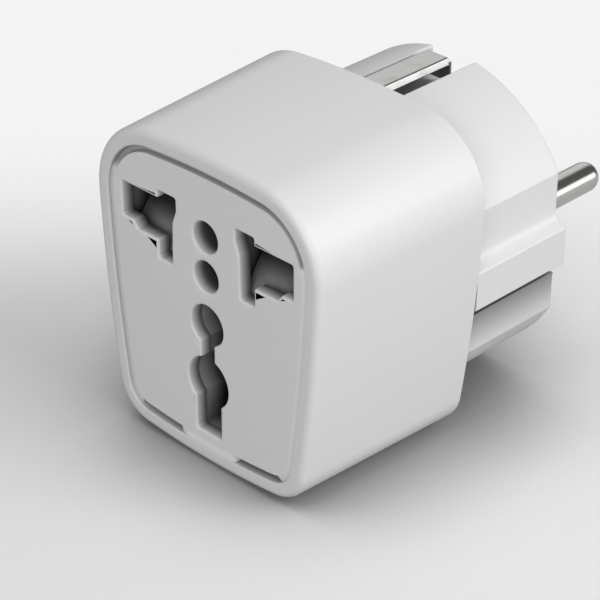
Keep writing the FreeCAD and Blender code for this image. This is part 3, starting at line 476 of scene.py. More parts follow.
def keyhole_outline():
    """The keyhole: an upper round, a neck, a lower round and a slot, mirrored left to right.

    A circle meets a straight side at the arc sine of (the side's distance from the middle / its radius).
    """
    face = settings()[1]
    upper, neck, lower, slot = 2.7 * MM, 1.1 * MM, 3.4 * MM, 2.1 * MM
    upper_drop, lower_drop, foot_drop = 11.9 * MM, 19.9 * MM, 27.2 * MM
    upper_centre = np.array((0, face.row - upper_drop))
    lower_centre = np.array((0, face.row - lower_drop))
    down, up = -math.pi / 2, math.pi / 2
    into_neck = math.asin(neck / upper)
    out_of_neck = math.asin(neck / lower)
    into_slot = math.asin(slot / lower)
    top, _ = arc(upper_centre, upper, down + into_neck, up, 30)
    low, _ = arc(lower_centre, lower, down + into_slot, up - out_of_neck, 26)
    neck_foot = lower_centre + lower * np.array([math.sin(out_of_neck), math.cos(out_of_neck)])
    right = np.concatenate([[(slot, face.row - foot_drop)], low, [neck_foot], top])
    radii = np.zeros(len(right))
    radii[[0, 1, 1 + len(low), 2 + len(low)]] = face.slot_corner
    outline = np.concatenate([right, [upper_centre + (0, upper)], (right * (-1, 1))[::-1]])
    both = np.concatenate([radii, [0], radii[::-1]])
    return opening(rounded(outline, both, 5))


def openings():
    """Every opening of the face, with the directions into the plate."""
    face = settings()[1]
    hole, spacing = 2.05 * MM, 5.25 * MM
    holes = [circle((0, face.row - drop), hole) for drop in (0, spacing)]
    return [slot_outline(-1), slot_outline(1), keyhole_outline()] + holes


def smooth_step(value, low, high):
    """0 below low, 1 above high, and 3 t squared - 2 t cubed between."""
    t = np.clip((value - low) / (high - low), 0, 1)
    return t * t * (3 - 2 * t)


def stretch(value, start, end):
    """1 between two soft borders and 0 outside them. Each border is (from, to) in millimetres."""
    (start_low, start_high), (end_low, end_high) = start, end
    begun = smooth_step(value, start_low * MM, start_high * MM)
    return begun * (1 - smooth_step(value, end_low * MM, end_high * MM))


def groove_shares(outline):
    """How far each place on the face's border has the full groove: along the top, and at both low corners."""
    face = settings()[1]
    x, rise = outline[:, 0], outline[:, 1] - face.row
    skew = 0.8 * MM
    top = smooth_step(rise + skew * np.sign(x), 3.0 * MM, 4.6 * MM)
    left = stretch(-x, (4.9, 5.3), (12.9, 13.3))
    right = stretch(x, (4.7, 5.1), (12.9, 13.4))
    return np.maximum(top, np.where(rise < LOW_BORDER, np.maximum(left, right), 0))


def marked(table, reach):
    """The outline's rows, with two equal rows put in wherever x passes plus or minus the reach.

    The first column is x. Gives the rows, and whether each belongs to the stretch within the reach.
    """
    count = len(table)
    after = np.roll(table, -1, 0)
    within = np.abs(table[:, 0]) < reach
    keys, rows, flags = [np.arange(count, dtype=float)], [table], [within]
    for mark in (reach, -reach):
        place = np.flatnonzero((table[:, 0] - mark) * (after[:, 0] - mark) < 0)
        part = (mark - table[place, 0]) / (after[place, 0] - table[place, 0])
        made = table[place] + (after[place] - table[place]) * part[:, None]
        keys += [place + part - 1e-6, place + part + 1e-6]
        rows += [made, made]
        flags += [within[place], within[(place + 1) % count]]
    order = np.argsort(np.concatenate(keys))
    return np.concatenate(rows)[order], np.concatenate(flags)[order]


class ADAPTER_OT_front_housing(bpy.types.Operator):
    """Build the outer shell with the rim round the face"""

    bl_idname = "adapter.front_housing"
    bl_label = "Front housing"

    def execute(self, context):
        body, face, plug = settings()
        clip = context.scene.adapter_clip
        steps = 26
        front, way = body_outline(steps)
        rear = body_outline(steps, 1.0)[0]
        table, open_rows = marked(np.hstack([front, rear, way]), clip.width / 2 + clip.relief)
        front, rear, way = table[:, :2], table[:, 2:4], table[:, 4:]
        edge, rim_edge, back = body.front_round, body.rim_round, body.rear_round
        run = np.linspace(edge, body.depth - back, 6)[1:-1]
        outer = np.concatenate([
            quarter((-edge, edge), edge, -math.pi / 2, 9),
            np.stack([np.zeros_like(run), run], 1),
            quarter((-back, body.depth - back), back, 0, 5),
        ])
        # Outside = front x (1 - share) + rear x share + offset x direction, with share = depth / whole depth.
        grown = np.clip(outer[:, 1] / body.depth, 0, 1)[:, None]
        outside = front[:, None] * (1 - grown) + rear[:, None] * grown + outer[:, :1] * way[:, None]
        # Inside = front + offset x direction. Over the clips the wall is cut away up to a level height.
        target = plug.axis + np.sign(way[:, 1]) * (clip.crest + face.fit)
        relief = np.where(open_rows, (target - front[:, 1]) / np.where(open_rows, way[:, 1], 1), -body.wall)
        wall = np.full(len(front), -body.wall)
        rim = np.full(len(front), -body.rim)
        rim_round = quarter((-body.rim + rim_edge, rim_edge), rim_edge, math.pi)
        depths = [body.depth, clip.relief_start, clip.relief_start, face.thickness, face.thickness]
        offsets = np.hstack([
            np.stack([relief, relief, wall, wall, rim], 1),
            np.broadcast_to(rim_round[:, 0], (len(front), len(rim_round))),
        ])
        within = front[:, None] + offsets[..., None] * way[:, None]
        within = at_depth(within, np.concatenate([depths, rim_round[:, 1]]))
        grid = np.concatenate([at_depth(outside, outer[:, 1]), within], 1)
        shell = assemble("housing_shell", [(grid, True, True)], "white moulding")
        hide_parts("front_housing")
        return {"FINISHED"}


# Places across the groove, from its outer to its inner edge, in shares of its width.
GROOVE_PLACES = np.array([0, 0.1, 0.22, 0.34, 0.46, 0.58, 0.68, 0.76, 0.82, 0.86, 0.9, 0.93, 0.96, 0.98, 1.0])


def insert_profile(outline):
    """The insert's edge as (outward, depth), for each row of its outline.

    Depth = recess + share x groove + (1 - share) x dip. The dip is half of 1 + the cosine of half a turn
    over its width, and turns into a rise at the bottom middle. The groove is square, with a soft inner
    edge and a slit under its outer edge, which fades away at the left.
    """
    body, face = settings()[:2]
    across = GROOVE_PLACES
    x, rise = outline[:, :1], outline[:, 1:] - face.row
    full = groove_shares(outline)[:, None]
    border = -(body.rim + 0.01 * MM)
    flange_out = -(body.wall + face.fit)
    flange_in = -(body.wall + face.flange_width)
    back, low = face.thickness, face.thickness - 0.15 * MM
    slit = border - face.undercut * full * smooth_step(x, -13 * MM, -8 * MM)
    middle = np.where(rise < LOW_BORDER, 1 - smooth_step(np.abs(x), 3.6 * MM, 5.2 * MM), 0)
    low_edge = face.dip * (1 - middle) - face.blend * middle
    dip = low_edge * (1 + np.cos(math.pi * across)) / 2
    groove = (face.groove_depth - face.recess) * (1 - smooth_step(across, 0.8, 1.0))
    depth = face.recess + full * groove + (1 - full) * dip
    offset = slit + (border - face.groove_width - slit) * across
    steps = np.array([
        (flange_in, back), (flange_in, back + face.flange), (flange_out, back + face.flange),
        (flange_out, back), (border, back), (border, low),
    ])
    rows = len(outline)
    start = np.broadcast_to(steps, (rows,) + steps.shape)
    under = np.stack([slit, np.full((rows, 1), low)], 2)
    return np.concatenate([start, under, np.stack([offset, depth], 2)], 1)


class ADAPTER_OT_socket_face(bpy.types.Operator):
    """Build the insert with the slots, its grooves and its flange"""

    bl_idname = "adapter.socket_face"
    bl_label = "Socket face"

    def execute(self, context):
        face = settings()[1]
        outline, way = body_outline(110)
        profile = insert_profile(outline)
        patches = [band(outline, way, profile)]
        edge = face.slot_edge
        side = np.concatenate([lip(edge, face.recess, 1, 6), [(0, face.thickness)]])
        fronts, backs = [outline + way * profile[:, -1, :1]], [outline + way * profile[:, 0, :1]]
        for loop, into in openings():
            patches.append(band(loop, into, side))
            fronts.append(loop + into * edge)
            backs.append(loop)
        patches.append(sheet_between(fronts, face.recess))
        patches.append(sheet_between(backs, face.thickness))
        plate = assemble("face_insert", patches, "face moulding")
        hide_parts("socket_face")
        return {"FINISHED"}


def plug_outline():
    """The plug's section: a circle cut by two flats, with a rib along each flat and a notch above and below.

    The right half runs upwards: circle, flat, the groove under the rib, rib, circle. The left mirrors it.
    """
    plug = settings()[2]
    radius, flat, half_notch, floor = plug.radius, plug.flat, plug.notch / 2, plug.notch_floor
    notch_angle = math.acos(half_notch / radius)
    flat_angle = math.acos(flat / radius)
    upper, _ = arc((0, 0), radius, flat_angle, notch_angle, 40)
    lower, _ = arc((0, 0), radius, -notch_angle, -flat_angle, 40)
    cut, under = 1.0 * MM, plug.rib_base + 1.2 * MM
    rib = [
        (flat, -under), (flat - cut, -under), (flat - cut, -plug.rib_base), (plug.rib, -plug.rib_top),
        (plug.rib, plug.rib_top), (flat, plug.rib_base),
    ]
    rib_radii = [0.08 * MM, 0.05 * MM, 0.05 * MM, 0.2 * MM, 0.35 * MM, plug.rib_blend]
    flat_end = [0.3 * MM]
    right = np.concatenate([lower, [(flat, -radius * math.sin(flat_angle))], rib, upper])
    right_radii = np.concatenate([
        np.zeros(len(lower)), flat_end, rib_radii, flat_end, np.zeros(len(upper) - 1),
    ])
    notch_top = radius * math.sin(notch_angle)
    notch = np.array([
        (half_notch, notch_top), (half_notch, floor), (-half_notch, floor), (-half_notch, notch_top),
    ])
    notch_radii = np.array([0.3, 0.4, 0.4, 0.3]) * MM
    outline = np.concatenate([right, notch, (right * (-1, 1))[::-1], (notch * (1, -1))[::-1]])
    radii = np.concatenate([right_radii, notch_radii, right_radii[::-1], notch_radii[::-1]])
    keep = np.linalg.norm(outline - np.roll(outline, 1, 0), axis=1) > 1e-6
    made = rounded(outline[keep], radii[keep], 6)
    return opening(made + (0, plug.axis))


def cavity_outline():
    """The hollow inside the plug: a circle cut by the side walls, the clips' roofs and the screw tubes.

    A tube's circle meets the hollow's circle at a distance of (R squared - r squared + D squared) / (2 D)
    from the axis along the line to the tube, and the square root of what is left aside.
    """
    plug = settings()[2]
    radius, tube = plug.radius - plug.wall, plug.screw_tube
    side = plug.flat - plug.flat_wall
    roof_x, roof = plug.notch / 2 + plug.wall, plug.notch_floor - plug.wall
    middle = np.array((plug.screw_x, -plug.screw_drop))
    apart = np.linalg.norm(middle)
    along = (radius ** 2 - tube ** 2 + apart ** 2) / (2 * apart)
    aside = math.sqrt(radius ** 2 - along ** 2)
    unit = middle / apart
    meet = unit * along + np.array((-unit[1], unit[0])) * aside
    drop = roof + middle[1]
    start = math.atan2(-drop, -math.sqrt(tube ** 2 - drop ** 2)) % FULL_TURN
    end = math.atan2(*(meet - middle)[::-1])
    over = arc(middle, tube, start, end, 24)[0]
    low = arc((0, 0), radius, math.atan2(*meet[::-1]), -math.acos(side / radius), 12)[0]
    high = arc((0, 0), radius, math.acos(side / radius), math.acos(roof_x / radius), 20)[0]
    corners = [(side, -math.sqrt(radius ** 2 - side ** 2))]
    top = [(roof_x, math.sqrt(radius ** 2 - roof_x ** 2)), (roof_x, roof)]
    right = np.concatenate([over, low, corners, high, top])
    return opening(np.concatenate([right, (right * (-1, 1))[::-1]]) + (0, plug.axis))


class ADAPTER_OT_rear_cover(bpy.types.Operator):
    """Build the plate that closes the shell and the hollow round plug behind it"""

    bl_idname = "adapter.rear_cover"
    bl_label = "Rear cover"

    def execute(self, context):
        body, face, plug = settings()
        front, inside_end = body.depth - plug.plate, plug.end - plug.end_wall
        # The plug's outside ends in a quarter round: (edge x (cosine - 1), end - edge x (1 - sine)).
        outline, way = plug_outline()
        edge = plug.edge
        turn = np.linspace(0, math.pi / 2, 7)
        side = np.stack([edge * (np.cos(turn) - 1), plug.end - edge * (1 - np.sin(turn))], 1)
        patches = [band(outline, way, np.concatenate([[(0, body.depth)], side]))]
        hollow, hollow_way = cavity_outline()
        patches.append(band(hollow, hollow_way, [(0, front), (0, inside_end)]))
        soft = 0.18 * MM
        mouth = lip(soft, plug.end, -1, 7)
        narrow = plug.screw_hole - plug.screw_well
        well = [(0, plug.screw_seat), (narrow, plug.screw_seat), (narrow, front)]
        ends, pins, screws = [outline - way * edge], [hollow], [hollow]
        for x in (-plug.pin_x, plug.pin_x):
            loop, into = circle((x, plug.axis), plug.collar + face.fit / 2)
            patches.append(band(loop, into, np.concatenate([mouth, [(0, inside_end)]])))
            ends.append(loop + into * soft)
            pins.append(loop)
        for x in (-plug.screw_x, plug.screw_x):
            loop, into = circle((x, plug.axis - plug.screw_drop), plug.screw_well)
            patches.append(band(loop, into, np.concatenate([mouth, well])))
            ends.append(loop + into * soft)
            screws.append(loop + into * narrow)
        plate, plate_way = body_outline(40)
        border = plate - plate_way * (body.wall + face.fit)
        small = 0.12 * MM
        patches.append(band(border, plate_way, [(0, front), (0, body.depth - small), (-small, body.depth)]))
        patches.append(sheet_between(ends, plug.end))
        patches.append(sheet_between(pins, inside_end))
        patches.append(sheet_between([border - plate_way * small, outline], body.depth))
        patches.append(sheet_between([border] + screws, front))
        cover = assemble("plug_cover", patches, "cover moulding")
        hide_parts("rear_cover")
        return {"FINISHED"}


class ADAPTER_OT_pins(bpy.types.Operator):
    """Build the two round pins with their domed tips, collars, flanges and riveted tails"""

    bl_idname = "adapter.pins"
    bl_label = "Pins"

    def execute(self, context):
        plug = settings()[2]
        radius, tip, collar = plug.pin_radius, plug.pin_tip, plug.collar
        inner, proud = plug.end - plug.end_wall, plug.end + plug.collar_proud
        flange, soft, around = 3.6 * MM, 0.08 * MM, 96
        # The profile is (radius, depth) from the tail to the tip, turned round the pin's axis.
        tail = np.array([
            (0, 35.8), (1.75, 35.8), (2.0, 36.1), (2.0, 36.6), (1.2, 36.6), (1.2, 37.4), (2.0, 37.4),
            (2.0, 39.6), (3.5, 39.6), (3.6, 39.7),
        ]) * MM
        rise = [
            (flange, inner), (collar, inner), (collar, proud - soft), (collar - soft, proud), (radius, proud),
        ]
        shank = np.stack([np.full(4, radius), np.linspace(proud + soft, tip - radius - soft, 4)], 1)
        turn = np.linspace(0, math.pi / 2, 18)
        dome = np.stack([radius * np.cos(turn), tip - radius + radius * np.sin(turn)], 1)
        profile = np.concatenate([tail, rise, shank, dome])
        for side, name in ((-1, "line_pin"), (1, "neutral_pin")):
            middle = np.zeros((around, 2)) + (side * plug.pin_x, plug.axis)
            way = circle((0, 0), 1, around)[1]
            piece = assemble("round_" + name, [band(middle, way, profile)], "nickel plate")
            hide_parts(name)
        return {"FINISHED"}


def raised(loop, rise, turn):
    """Points of x and depth, lifted from the plug's axis: upwards for turn 1, downwards for turn -1."""
    axis = settings()[2].axis
    height = np.broadcast_to(axis + turn * np.asarray(rise), loop.shape[:-1])
    return np.stack([loop[..., 0], FRONT + loop[..., 1], height], -1)


def closed_off(grid):
    """A grid whose rows are closed loops, with a flat face over its first and its last loop."""
    ring = np.array([np.arange(grid.shape[1])])
    return [(grid, False, True), (grid[0], ring), (grid[-1], ring)]


def clip_cap(turn):
    """The clip's run: a flat crown with its edges folded down all round.

    Point = plan + outward x the plan's mitre, at the crest + height, for each (outward, height) of the
    section. The crown is flat between the section's ends.
    """
    clip = bpy.context.scene.adapter_clip
    half, sheet, deep, lean = clip.width / 2, clip.sheet, clip.skirt, clip.lean
    plan = [(-half, clip.start), (half, clip.start), (half, clip.end), (-half, clip.end)]
    plan, out = opening(np.array(plan))
    crown, hem, inner = 0.95 * MM, 0.1 * MM, 0.08 * MM
    section = [
        (-crown, 0), (-lean, 0), (0, -deep), (-sheet, -deep), (-lean - 0.5 * sheet, -sheet), (-crown, -sheet),
    ]
    section = rounded(section, [0, clip.edge, hem, hem, inner, 0], 7)
    grid = raised(plan[None] + section[:, None, :1] * out[None], clip.crest + section[:, 1:], turn)
    return closed_off(grid)


def clip_leg(turn):
    """The leg that hangs from the clip's far end."""
    clip = bpy.context.scene.adapter_clip
    half = clip.width / 2
    back, front = clip.end, clip.end - clip.sheet
    loop = rounded([(-half, front), (half, front), (half, back), (-half, back)], 0.1 * MM, 4)
    rise = np.array([clip.leg, clip.crest - clip.skirt - 0.3 * MM, clip.crest - 0.6 * clip.skirt])
    grid = raised(np.broadcast_to(loop, (3,) + loop.shape), rise[:, None], turn)
    return closed_off(grid)


def clip_root(turn):
    """The strip that turns down inside the body: a straight tab and a quarter bend into the run.

    Point = line + the section's height x the line's direction outwards, with the section's x aside.
    """
    clip = bpy.context.scene.adapter_clip
    half, thick = clip.width / 2, clip.sheet / 2
    middle = clip.crest - thick
    swing = np.linspace(math.pi, math.pi / 2, 12)
    bend_way = np.stack([np.cos(swing), np.sin(swing)], 1)
    bend = np.array((clip.tab_depth + clip.bend, middle - clip.bend)) + clip.bend * bend_way
    foot, end = (clip.tab_depth, clip.crest - clip.tab), (clip.start + clip.sheet, middle)
    line = np.concatenate([[foot], bend, [end]])
    ways = np.concatenate([[(-1.0, 0.0)], bend_way, [(0.0, 1.0)]])
    inset = half - 0.02 * MM
    section = rounded([(-inset, -thick), (inset, -thick), (inset, thick), (-inset, thick)], 0.1 * MM, 4)
    flat = line[:, None] + section[None, :, 1:] * ways[:, None]
    place = np.stack([np.broadcast_to(section[:, 0], flat.shape[:2]), flat[..., 0]], -1)
    return closed_off(raised(place, flat[..., 1], turn))


class ADAPTER_OT_earth_clips(bpy.types.Operator):
    """Build the pressed metal clips above and below the plug"""

    bl_idname = "adapter.earth_clips"
    bl_label = "Earth clips"

    def execute(self, context):
        for turn, name in ((1, "earth_clip_top"), (-1, "earth_clip_bottom")):
            patches = clip_cap(turn) + clip_leg(turn) + clip_root(turn)
            piece = assemble("pressed_" + name, patches, "clip metal")
            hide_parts(name)
        return {"FINISHED"}


def new_group(name, colours, values):
    """A shader node group that gives a colour, a roughness and a normal, and its two end nodes.

    Its inputs are the named colours, and the named values with their defaults.
    """
    group = bpy.data.node_groups.new(name, "ShaderNodeTree")
    for label in colours:
        group.interface.new_socket(name=label, in_out="INPUT", socket_type="NodeSocketColor")
    for label, value in values.items():
        socket = group.interface.new_socket(name=label, in_out="INPUT", socket_type="NodeSocketFloat")
        socket.default_value = value
    for label, kind in (("Colour", "Color"), ("Roughness", "Float"), ("Normal", "Vector")):
        group.interface.new_socket(name=label, in_out="OUTPUT", socket_type="NodeSocket" + kind)
    return group, group.nodes.new("NodeGroupInput"), group.nodes.new("NodeGroupOutput")


def join(tree, value, socket):
    """Links a socket's value, or sets a plain one."""
    if isinstance(value, bpy.types.NodeSocket):
        tree.links.new(value, socket)
    else:
        socket.default_value = value


def maths(tree, operation, *values):
    """The result of a Math node on sockets or plain values."""
    node = tree.nodes.new("ShaderNodeMath")
    node.operation = operation
    for value, socket in zip(values, node.inputs):
        join(tree, value, socket)
    return node.outputs[0]


def mixed(tree, factor, first, second):
    """A colour between two, by a factor."""
    node = tree.nodes.new("ShaderNodeMix")
    node.data_type = "RGBA"
    places = [node.inputs[0]] + [s for s in node.inputs if s.type == "RGBA"]
    for socket, value in zip(places, (factor, first, second)):
        join(tree, value, socket)
    return [s for s in node.outputs if s.type == "RGBA"][0]


def ramp(tree, value, source, target):
    """A value carried smoothly from one range to another."""
    node = tree.nodes.new("ShaderNodeMapRange")
    node.interpolation_type = "SMOOTHSTEP"
    for label, bound in zip(("Value", "From Min", "From Max", "To Min", "To Max"), (value, *source, *target)):
        join(tree, bound, node.inputs[label])
    return node.outputs["Result"]


def towards(tree, coordinates, way):
    """How far coordinates reach along a direction: their dot product."""
    node = tree.nodes.new("ShaderNodeVectorMath")
    node.operation = "DOT_PRODUCT"
    node.inputs[1].default_value = way
    tree.links.new(coordinates, node.inputs[0])
    return node.outputs["Value"]


def object_place(tree):
    """A point's Object coordinates."""
    return tree.nodes.new("ShaderNodeTexCoord").outputs["Object"]


def is_ray(tree, kind):
    """1 for rays of one kind, such as Camera or Glossy, and 0 for all others."""
    return tree.nodes.new("ShaderNodeLightPath").outputs["Is " + kind + " Ray"]


def opaque(tone):
    """A colour with full alpha. One number makes a grey."""
    return (tone,) * 3 + (1.0,) if isinstance(tone, float) else tuple(tone) + (1.0,)


def noise(tree, coordinates, scale, detail=2.0, roughness=0.5):
    """A noise texture's grey value on given coordinates."""
    node = tree.nodes.new("ShaderNodeTexNoise")
    node.inputs["Scale"].default_value = scale
    node.inputs["Detail"].default_value = detail
    node.inputs["Roughness"].default_value = roughness
    tree.links.new(coordinates, node.inputs["Vector"])
    return node.outputs["Fac"]


def bump(tree, height, strength, distance, normal=None):
    """A normal tilted by a height, on top of another one if given."""
    node = tree.nodes.new("ShaderNodeBump")
    node.inputs["Distance"].default_value = distance
    join(tree, strength, node.inputs["Strength"])
    join(tree, height, node.inputs["Height"])
    if normal:
        join(tree, normal, node.inputs["Normal"])
    return node.outputs["Normal"]


# Inputs of the moulded surface. The painted shade in creases takes its strength, Reach, Shut and Open; the
# painted shade in depth takes Deep start, Deep end and Deep dim.
MOULDED = {
    "Drift": 0.03, "Gloss low": 0.38, "Gloss high": 0.46, "Grain": 0.1, "Wave": 0.1, "Crease": 0.2,
    "Reach": 0.0016, "Shut": 0.15, "Open": 0.8, "Deep start": 0.0, "Deep end": 1.0, "Deep dim": 0.0,
}


def moulded_group():
    """Moulded plastic: a slow drift of tone, spark-eroded grain, faint sink waves, and painted shade in
    creases and with depth.

    Colour out = colour x (1 - drift - painted_crease_shade) x (1 - deep). The painted shade in creases falls
    where little is open within the reach, by ambient occlusion, and deep is painted shade that grows between
    two depths.
    """
    existing = bpy.data.node_groups.get("Moulded surface")
    if existing:
        return existing
    tree, start, end = new_group("Moulded surface", ("Colour",), MOULDED)
    given = start.outputs
    place = object_place(tree)
    slow = noise(tree, place, 45.0, 3.0)
    wave = noise(tree, place, 130.0, 1.0, 0.4)
    grain = noise(tree, place, 5200.0, 2.0, 0.6)
    # Painted shade in creases: an ambient occlusion mask darkens the colour where little is open within the
    # reach.
    hollow = tree.nodes.new("ShaderNodeAmbientOcclusion")
    hollow.samples = 8
    join(tree, given["Reach"], hollow.inputs["Distance"])
    shut = ramp(tree, hollow.outputs["AO"], (given["Shut"], given["Open"]), (1.0, 0.0))
    # Painted shade in depth: the colour darkens with depth behind the front, as shade would inside the
    # openings.
    depth = towards(tree, place, (0, 1, 0))
    deep = ramp(tree, depth, (given["Deep start"], given["Deep end"]), (0.0, given["Deep dim"]))
    drift = maths(tree, "MULTIPLY", slow, given["Drift"])
    painted_crease_shade = maths(tree, "MULTIPLY", shut, given["Crease"])
    near = maths(tree, "SUBTRACT", 1.0, maths(tree, "ADD", drift, painted_crease_shade))
    light = maths(tree, "MULTIPLY", near, maths(tree, "SUBTRACT", 1.0, deep))
    tint = tree.nodes.new("ShaderNodeVectorMath")
    tint.operation = "SCALE"
    join(tree, given["Colour"], tint.inputs[0])
    join(tree, light, tint.inputs["Scale"])
    join(tree, tint.outputs[0], end.inputs["Colour"])
    gloss = ramp(tree, grain, (0.3, 0.7), (given["Gloss low"], given["Gloss high"]))
    join(tree, gloss, end.inputs["Roughness"])
    waved = bump(tree, wave, given["Wave"], 0.12 * MM)
    join(tree, bump(tree, grain, given["Grain"], 0.006 * MM, waved), end.inputs["Normal"])
    return tree


PLATED = {"Gloss low": 0.14, "Gloss high": 0.3, "Lines": 0.1, "Pits": 0.1}


def plated_group():
    """Drawn and plated metal: fine lines along the depth, smudges in the gloss, stains and tiny pits."""
    existing = bpy.data.node_groups.get("Plated surface")
    if existing:
        return existing
    tree, start, end = new_group("Plated surface", ("Colour", "Stain"), PLATED)
    given = start.outputs
    place = object_place(tree)
    stretched = tree.nodes.new("ShaderNodeMapping")
    stretched.inputs["Scale"].default_value = (1.0, 0.04, 1.0)
    tree.links.new(place, stretched.inputs["Vector"])
    lines = noise(tree, stretched.outputs["Vector"], 3200.0, 3.0, 0.6)
    smudge = noise(tree, place, 240.0, 3.0, 0.55)
    pits = ramp(tree, noise(tree, place, 2400.0, 1.0), (0.62, 0.75), (1.0, 0.0))
    stained = ramp(tree, smudge, (0.45, 0.75), (0.0, 1.0))
    join(tree, mixed(tree, stained, given["Colour"], given["Stain"]), end.inputs["Colour"])
    gloss = ramp(tree, smudge, (0.3, 0.7), (given["Gloss low"], given["Gloss high"]))
    join(tree, gloss, end.inputs["Roughness"])
    drawn = bump(tree, lines, given["Lines"], 0.008 * MM)
    join(tree, bump(tree, pits, given["Pits"], 0.004 * MM, drawn), end.inputs["Normal"])
    return tree


# Each moulding: its colour, its specular level, MOULDED's values up to Open with its painted shade in
# creases, and where
# its painted shade in depth darkens it: from and to in millimetres behind the front, and by how much.
PLASTICS = {
    "white moulding": ("housing", 0.5, (0.03, 0.3, 0.4, 0.25, 0.16, 0.55, 0.0018, 0.15, 0.8), (0, 1, 0)),
    "cover moulding": ("housing", 0.5, (0.03, 0.3, 0.4, 0.25, 0.16, 0.96, 0.012, 0.1, 0.68), (0, 1, 0)),
    "face moulding": ("face", 0.45, (0.03, 0.4, 0.5, 0.35, 0.16, 0.5, 0.002, 0.15, 0.8), (0.3, 2.0, 0.86)),
    "inner moulding": (
        "inside", 0.3, (0.06, 0.5, 0.62, 0.4, 0.2, 0.85, 0.005, 0.15, 0.8), (1.8, 5.5, 0.97),
    ),
    "shutter moulding": (
        "shutter", 0.35, (0.05, 0.4, 0.5, 0.3, 0.2, 0.72, 0.005, 0.15, 0.8), (1.8, 5.3, 0.95),
    ),
}
# Each metal: its colour, its stains' colour and PLATED's values.
METALS = {
    "nickel plate": ("nickel", (0.64, 0.62, 0.59), (0.1, 0.2, 0.12, 0.15)),
    "clip metal": ("clip", (0.6, 0.59, 0.57), (0.16, 0.28, 0.15, 0.2)),
    "brass sheet": ("brass", (0.5, 0.34, 0.16), (0.24, 0.42, 0.25, 0.3)),
    "tinned sheet": ("tin", (0.38, 0.38, 0.37), (0.3, 0.5, 0.25, 0.3)),
    "zinc plate": ("zinc", (0.5, 0.51, 0.54), (0.25, 0.42, 0.15, 0.3)),
}
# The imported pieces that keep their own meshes, by finish.
INNER_PARTS = {
    "inner moulding": ("contact_carrier", "pin_retainer"),
    "brass sheet": (
        "line_contact", "neutral_contact", "line_strap", "neutral_strap", "contact_rivets", "earth_strap",
        "earth_rivets",
    ),
    "tinned sheet": ("earth_contact",),
    "shutter moulding": ("shutter_left", "shutter_right"),
    "zinc plate": ("retainer_screws", "housing_screws"),
}


def painted_shade_under_ribs(tree, shade):
    """A colour with painted shade, darker on the plug's side walls up to the ribs over them, where little
    light comes in.

    The painted shade's mask = the product of four ramps: up the wall, off above the rib's root, in from the
    flat, out past it.
    """
    plug = settings()[2]
    place = object_place(tree)
    aside = maths(tree, "ABSOLUTE", towards(tree, place, (1, 0, 0)))
    height = towards(tree, place, (0, 0, 1))
    top = plug.axis - plug.rib_base
    up = ramp(tree, height, (top - 8.0 * MM, top + 0.5 * MM), (0.0, 0.85))
    off = ramp(tree, height, (top, top + 0.3 * MM), (1.0, 0.0))
    into = ramp(tree, aside, (plug.flat - 0.9 * MM, plug.flat - 0.5 * MM), (0.0, 1.0))
    past = ramp(tree, aside, (plug.flat + 0.1 * MM, plug.flat + 0.4 * MM), (1.0, 0.0))
    painted_shade_mask = maths(tree, "MULTIPLY", maths(tree, "MULTIPLY", up, off), maths(tree, "MULTIPLY", into, past))
    return mixed(tree, painted_shade_mask, shade, opaque(0.1))


def material(name):
    """The finish of a given name, made the first time that it is asked for."""
    existing = bpy.data.materials.get(name)
    if existing:
        return existing
    made = bpy.data.materials.new(name)
    made.use_nodes = True
    tree = made.node_tree
    shader = tree.nodes["Principled BSDF"]
    surface = tree.nodes.new("ShaderNodeGroup")
    if name in PLASTICS:
        key, specular, values, (start, end, dim) = PLASTICS[name]
        # Start, end and dim place and set the painted shade in depth.
        values += (FRONT + start * MM, FRONT + end * MM, dim)
        surface.node_tree, labels = moulded_group(), MOULDED
        shader.inputs["Specular IOR Level"].default_value = specular
    else:
        key, stain, values = METALS[name]
        surface.node_tree, labels = plated_group(), PLATED
        surface.inputs["Stain"].default_value = opaque(stain)
        shader.inputs["Metallic"].default_value = 1.0
    for label, value in zip(labels, values):
        surface.inputs[label].default_value = value
    surface.inputs["Colour"].default_value = opaque(getattr(bpy.context.scene.adapter_finishes, key))
    shade = surface.outputs["Colour"]
    # The cover gets painted shade under the plug's ribs.
    if name == "cover moulding":
        shade = painted_shade_under_ribs(tree, shade)
    join(tree, shade, shader.inputs["Base Color"])
    join(tree, surface.outputs["Roughness"], shader.inputs["Roughness"])
    join(tree, surface.outputs["Normal"], shader.inputs["Normal"])
    return made


def coil(low, high):
    """Rings of a round wire wound into a coil that fills a box.

    The centre line runs round a circle and rises evenly. Each ring lies between its outward direction and
    the one square to that and to the line.
    """
    spring = bpy.context.scene.adapter_spring
    rings, wire = int(28 * spring.turns) + 1, spring.wire / 2
    middle = (low + high) / 2
    radius = (high[0] - low[0]) / 2 - wire
    rise = high[2] - low[2] - 2 * wire
    along = np.linspace(0, 1, rings)
    turn = FULL_TURN * spring.turns * along
    level = np.zeros(rings)
    outward = np.stack([np.cos(turn), np.sin(turn), level], 1)
    axis = np.stack([middle[0] + level, middle[1] + level, low[2] + wire + rise * along], 1)
    line = axis + radius * outward
    pitch = np.full(rings, rise / (FULL_TURN * spring.turns))
    ahead = np.stack([-radius * np.sin(turn), radius * np.cos(turn), pitch], 1)
    across = np.cross(ahead / np.linalg.norm(ahead, axis=1)[:, None], outward)
    ring = circle((0, 0), wire, 12)[0]
    return line[:, None] + ring[None, :, :1] * outward[:, None] + ring[None, :, 1:] * across[:, None]


class ADAPTER_OT_shutter_springs(bpy.types.Operator):
    """Build the coils under the shutters"""

    bl_idname = "adapter.shutter_springs"
    bl_label = "Shutter springs"

    def execute(self, context):
        for side in ("left", "right"):
            node = "shutter_spring_" + side
            low, high = (np.array(corner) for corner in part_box(node))
            piece = assemble("coiled_" + node, closed_off(coil(low, high)), "zinc plate")
            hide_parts(node)
            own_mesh(piece)
        return {"FINISHED"}


